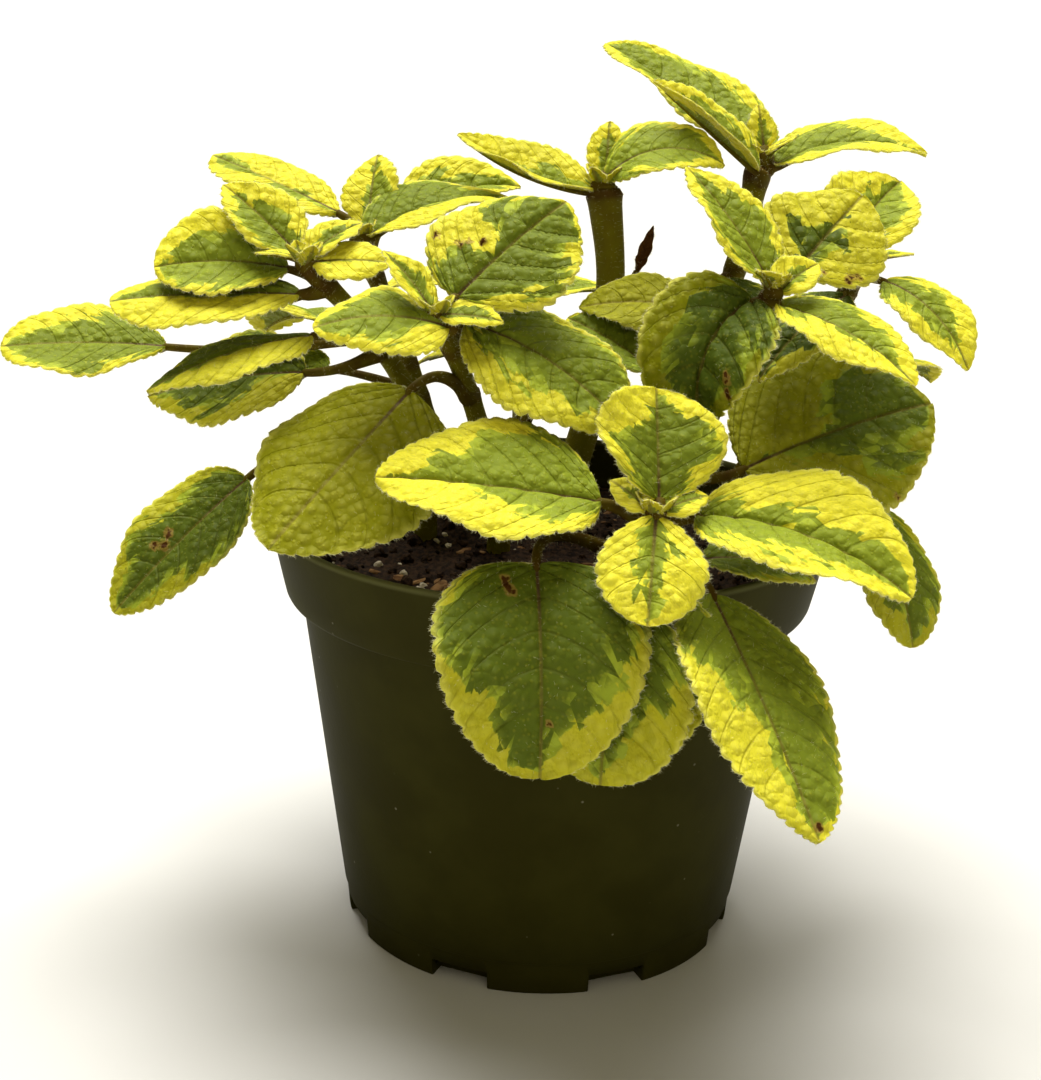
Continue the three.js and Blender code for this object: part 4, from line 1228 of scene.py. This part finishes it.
def turning(angle, first, second):
    """The matrix that turns one axis towards another."""
    matrix = np.eye(3)
    matrix[first, first] = matrix[second, second] = math.cos(angle)
    matrix[second, first] = math.sin(angle)
    matrix[first, second] = -math.sin(angle)
    return matrix


def box_part(size, centre, turn):
    """A box with its middle at centre, turned about the pot's axis."""
    corners = np.array([(x, y, z) for z in (-0.5, 0.5) for y in (-0.5, 0.5) for x in (-0.5, 0.5)])
    corners = (corners * size + centre) @ turning(turn, 0, 1).T
    return part(corners, [[0, 2, 3, 1], [4, 5, 7, 6], [0, 1, 5, 4], [2, 6, 7, 3],
                          [0, 4, 6, 2], [1, 3, 7, 5]])


# %% Cut the notches and the drain holes
NOTCHES = 8
NOTCH_SIZE = (9, 12, 8)
FOOT_RADIUS = 41
DRAIN_HOLES = 6
DRAIN_RADIUS = 4
DRAIN_REACH = 24
ROD = [(0, -3), (DRAIN_RADIUS, -3), (DRAIN_RADIUS, 5), (0, 5)]

for k in range(NOTCHES):
    turn = (k + 0.5) * 2 * math.pi / NOTCHES
    cut(pot, cutter(box_part(NOTCH_SIZE, (FOOT_RADIUS, 0, 0), turn)))
for k in range(DRAIN_HOLES):
    turn = k * 2 * math.pi / DRAIN_HOLES
    rod = turned(ROD, 24)
    rod["points"] += (DRAIN_REACH * math.cos(turn), DRAIN_REACH * math.sin(turn), 0)
    cut(pot, cutter(rod))
print("pot faces:", len(pot.data.polygons))

# %% [markdown]
# ## The soil
#
# Dark peat fills the pot to about a centimetre below the rim. A flat disc would
# show at once as false, so the top of the filling is uneven, and it is strewn with
# crumbs of peat, brown chips of bark, white grains of perlite and a few straw
# fibres.

# %% The filling
SOIL_FOOT = (38.6, 2.2)
SOIL_SHOULDER = (48.6, 70.8)
SOIL_RADIUS = 51.8
SOIL_RINGS = 90
SOIL_SPOKES = 180
WAVES = ((0.11, 0.07, 1.0, 1.8), (-0.21, 0.17, 2.2, 2.6), (0.43, 0.31, 0.4, 4.0),
         (-0.37, 0.62, 5.1, 4.5), (0.93, -0.55, 3.3, 6.0), (1.3, 1.1, 0.9, 7.0))


def soil_height(x, y):
    """The uneven top of the soil."""
    waves = sum(np.sin(a * x + b * y + c) / d for a, b, c, d in WAVES)
    return SOIL_LEVEL - 0.2 + 0.45 * waves


def soil_part():
    """The filling: a turned body with an uneven top."""
    top_rings = [(SOIL_RADIUS * (1 - k / SOIL_RINGS), SOIL_LEVEL) for k in range(SOIL_RINGS)]
    outline = [(0, SOIL_FOOT[1]), SOIL_FOOT, SOIL_SHOULDER] + top_rings + [(0, SOIL_LEVEL)]
    made = turned(outline, SOIL_SPOKES)
    points = made["points"]
    top = points[:, 2] > SOIL_LEVEL - 3
    rough = rng.uniform(-0.35, 0.45, top.sum())
    points[top, 2] = soil_height(points[top, 0], points[top, 1]) + rough
    return made


# %% [markdown]
# Peat, bark and straw are dull and patchy. Three materials could be drawn one by
# one, but they differ only in their two colours and in the size of the patches, so
# one function makes them all.

# %% Earthy finishes
def earthy(name, first, second, scale, rough):
    """A matte skin with two earthy colours in patches."""
    skin = Skin(name)
    pattern = skin.noise(skin.place(), scale, 4.0)
    skin.bump(pattern, 0.0003)
    color = skin.mix(skin.smooth(pattern, 0.35, 0.65), first, second)
    return skin.finish(color, rough, Specular_IOR_Level=0.1)


peat = earthy("peat", (0.007, 0.0035, 0.0015), (0.035, 0.018, 0.008), 900.0, 0.9)
bark = earthy("bark", (0.1, 0.045, 0.015), (0.27, 0.15, 0.06), 700.0, 0.85)
straw = earthy("straw", (0.35, 0.22, 0.1), (0.55, 0.4, 0.2), 500.0, 0.7)
perlite = Skin("perlite").finish((0.5, 0.43, 0.3), 0.8)

piece("soil_filling", [soil_part()], [peat], "soil")
print("soil in the middle, in millimetres:", round(float(soil_height(0, 0)), 1))

# %% [markdown]
# Crumbs, chips and grains are all uneven balls, pulled long or pressed flat. They
# could be copies of a few shapes, but each one gets a shape and a turn of its own,
# which costs little and never repeats. Small ones are far more common than large
# ones.

# %% A ball to start from
GOLD = (1 + 5 ** 0.5) / 2
BALL_POINTS = (
    (-1, GOLD, 0), (1, GOLD, 0), (-1, -GOLD, 0), (1, -GOLD, 0), (0, -1, GOLD), (0, 1, GOLD),
    (0, -1, -GOLD), (0, 1, -GOLD), (GOLD, 0, -1), (GOLD, 0, 1), (-GOLD, 0, -1), (-GOLD, 0, 1))
BALL_FACES = (
    (0, 11, 5), (0, 5, 1), (0, 1, 7), (0, 7, 10), (0, 10, 11), (1, 5, 9), (5, 11, 4),
    (11, 10, 2), (10, 7, 6), (7, 1, 8), (3, 9, 4), (3, 4, 2), (3, 2, 6), (3, 6, 8),
    (3, 8, 9), (4, 9, 5), (2, 4, 11), (6, 2, 10), (8, 6, 7), (9, 8, 1))


def ball():
    """A ball of 42 points: twenty triangles, each split into four."""
    points = [unit(np.array(p, float)) for p in BALL_POINTS]
    middles, split = {}, []
    for a, b, c in BALL_FACES:
        mids = []
        for pair in ((a, b), (b, c), (c, a)):
            key = tuple(sorted(pair))
            if key not in middles:
                middles[key] = len(points)
                points.append(unit(points[key[0]] + points[key[1]]))
            mids.append(middles[key])
        ab, bc, ca = mids
        split += [(a, ab, ca), (b, bc, ab), (c, ca, bc), (ab, bc, ca)]
    return np.array(points), np.array(split)


# %% Strew the grains
STREWN_REACH = 49.5


def grains(count, small, large, shape, uneven, sink):
    """Uneven grains strewn over the soil."""
    points, faces = ball()
    made = []
    for _ in range(count):
        size = small + (large - small) * rng.uniform() ** 2.5
        body = points * np.array(shape) * rng.uniform(0.75, 1.25, 3)
        body = body * (1 + uneven * rng.uniform(-1, 1, (len(points), 1))) * size
        a, b, c = rng.normal(0, 0.35), rng.normal(0, 0.35), rng.uniform(0, 2 * math.pi)
        tumble = turning(c, 0, 1) @ turning(b, 2, 0) @ turning(a, 1, 2)
        reach, where = STREWN_REACH * rng.uniform() ** 0.5, rng.uniform(0, 2 * math.pi)
        x, y = reach * math.cos(where), reach * math.sin(where)
        place = np.array([x, y, soil_height(x, y) + sink * size])
        made.append(part(body @ tumble.T + place, triangles=faces))
    return made


for name, made, skin in (
        ("peat_crumbs", grains(420, 0.5, 1.9, (1, 0.85, 0.7), 0.28, 0.25), peat),
        ("bark_chips", grains(90, 0.5, 1.9, (1.6, 0.7, 0.35), 0.22, 0.3), bark),
        ("perlite_grains", grains(46, 0.35, 1.1, (1, 0.9, 0.8), 0.2, 0.3), perlite)):
    piece(name, made, [skin], "soil", smooth=False)

# %% [markdown]
# A few straws lie on top. They could be copies of one curve, but here each is a
# thin tube of its own that follows the ground and arches up in the middle.

# %% Straw fibres
FIBRES = [(-30, -33, 9, 1.2, 1.2, 0.32), (-22, -38, 7, -0.4, 0.8, 0.28), (10, -40, 8, 0.7, 0.9, 0.25),
          (30, -20, 9, 2.3, 1.2, 0.3), (-12, 30, 8, 0.3, 1.0, 0.28), (-38, 12, 7, 1.9, 0.8, 0.25)]


def fibre(x, y, length, turn, arch, radius):
    """A thin straw that arches over the soil."""
    t = np.linspace(0, 1, 14)
    way = np.array([math.cos(turn), math.sin(turn)])
    aside = np.array([-way[1], way[0]])
    spread = (t - 0.5)[:, None] * length * way + (arch * np.sin(math.pi * t))[:, None] * aside
    ground = soil_height(x + spread[:, 0], y + spread[:, 1])
    line = np.stack([x + spread[:, 0], y + spread[:, 1],
                     ground + 0.3 + 0.8 * arch * np.sin(math.pi * t)], 1)
    return tube(line, radius * (1 - 0.5 * t), 6)


piece("straw_fibres", [fibre(*spot) for spot in FIBRES], [straw], "soil")

# %% [markdown]
# ## Floor and light
#
# A plain pale floor and soft light, as on an overcast day near a window. A sun with
# a very wide disc gives the even light from above, a large pane in front opens up
# the shadows, and a dim warm world fills the rest. A small hard lamp would be
# simpler but would hide the quilting of the leaves in sharp shadows.

# %% The floor
FLOOR_HALF = 40

floor_mesh = bpy.data.meshes.new("floor")
floor_mesh.from_pydata([(-FLOOR_HALF, -FLOOR_HALF, 0), (FLOOR_HALF, -FLOOR_HALF, 0),
                        (FLOOR_HALF, FLOOR_HALF, 0), (-FLOOR_HALF, FLOOR_HALF, 0)], [],
                       [(0, 1, 2, 3)])
floor_mesh.materials.append(Skin("floor_paper").finish((0.62, 0.62, 0.61), 0.9))
floor = link("floor", floor_mesh)

# %% Lamps and world
MIDDLE = (0, 0, 0.1)


def lamp(name, kind, place, power, color, **settings):
    """A lamp that looks at the middle of the plant."""
    data = bpy.data.lights.new(name, kind)
    data.energy = power
    data.color = color
    for key, value in settings.items():
        setattr(data, key, value)
    made = link(name, data)
    made.location = place
    made.rotation_euler = (Vector(MIDDLE) - Vector(place)).to_track_quat("-Z", "Y").to_euler()


lamp("overcast_sky", "SUN", (-0.05, 0.35, 1.0), 5.8, (1, 0.98, 0.93), angle=0.8)
lamp("window", "AREA", (0.1, -0.65, 0.5), 0.9, (1, 0.88, 0.6), size=0.5)

world = bpy.data.worlds.new("room")
world.use_nodes = True
world.node_tree.nodes["Background"].inputs["Color"].default_value = (1, 0.91, 0.62, 1)
world.node_tree.nodes["Background"].inputs["Strength"].default_value = 0.2
bpy.context.scene.world = world
bpy.context.scene.view_settings.view_transform = "Standard"

# %% [markdown]
# ## The camera
#
# The camera stands where the photograph was taken: a little above the rim, 370 mm
# away, and tipped by less than two degrees. It could be aimed with a constraint,
# but a matrix from its three axes takes the tip as well.

# %% Place the camera
LOOK_AT = Vector((-5.9, 0, 80.9))
DISTANCE = 369.5
PITCH = math.radians(18)
ROLL = math.radians(1.65)
SENSOR_WIDTH = 36
FOCAL_LENGTH = 60

right = Vector((1, 0, 0))
above = Vector((0, math.sin(PITCH), math.cos(PITCH)))
backward = Vector((0, -math.cos(PITCH), math.sin(PITCH)))
tipped_right = right * math.cos(ROLL) + above * math.sin(ROLL)
tipped_above = above * math.cos(ROLL) - right * math.sin(ROLL)

lens = bpy.data.cameras.new("camera")
lens.sensor_width = SENSOR_WIDTH
lens.lens = FOCAL_LENGTH
lens.clip_start = 0.01
camera = link("camera", lens)
axes = Matrix((tipped_right, tipped_above, backward)).transposed().to_4x4()
camera.matrix_world = Matrix.Translation((LOOK_AT + backward * DISTANCE) * MM) @ axes
bpy.context.scene.camera = camera
print("camera height in metres:", round(camera.matrix_world.translation.z, 3))
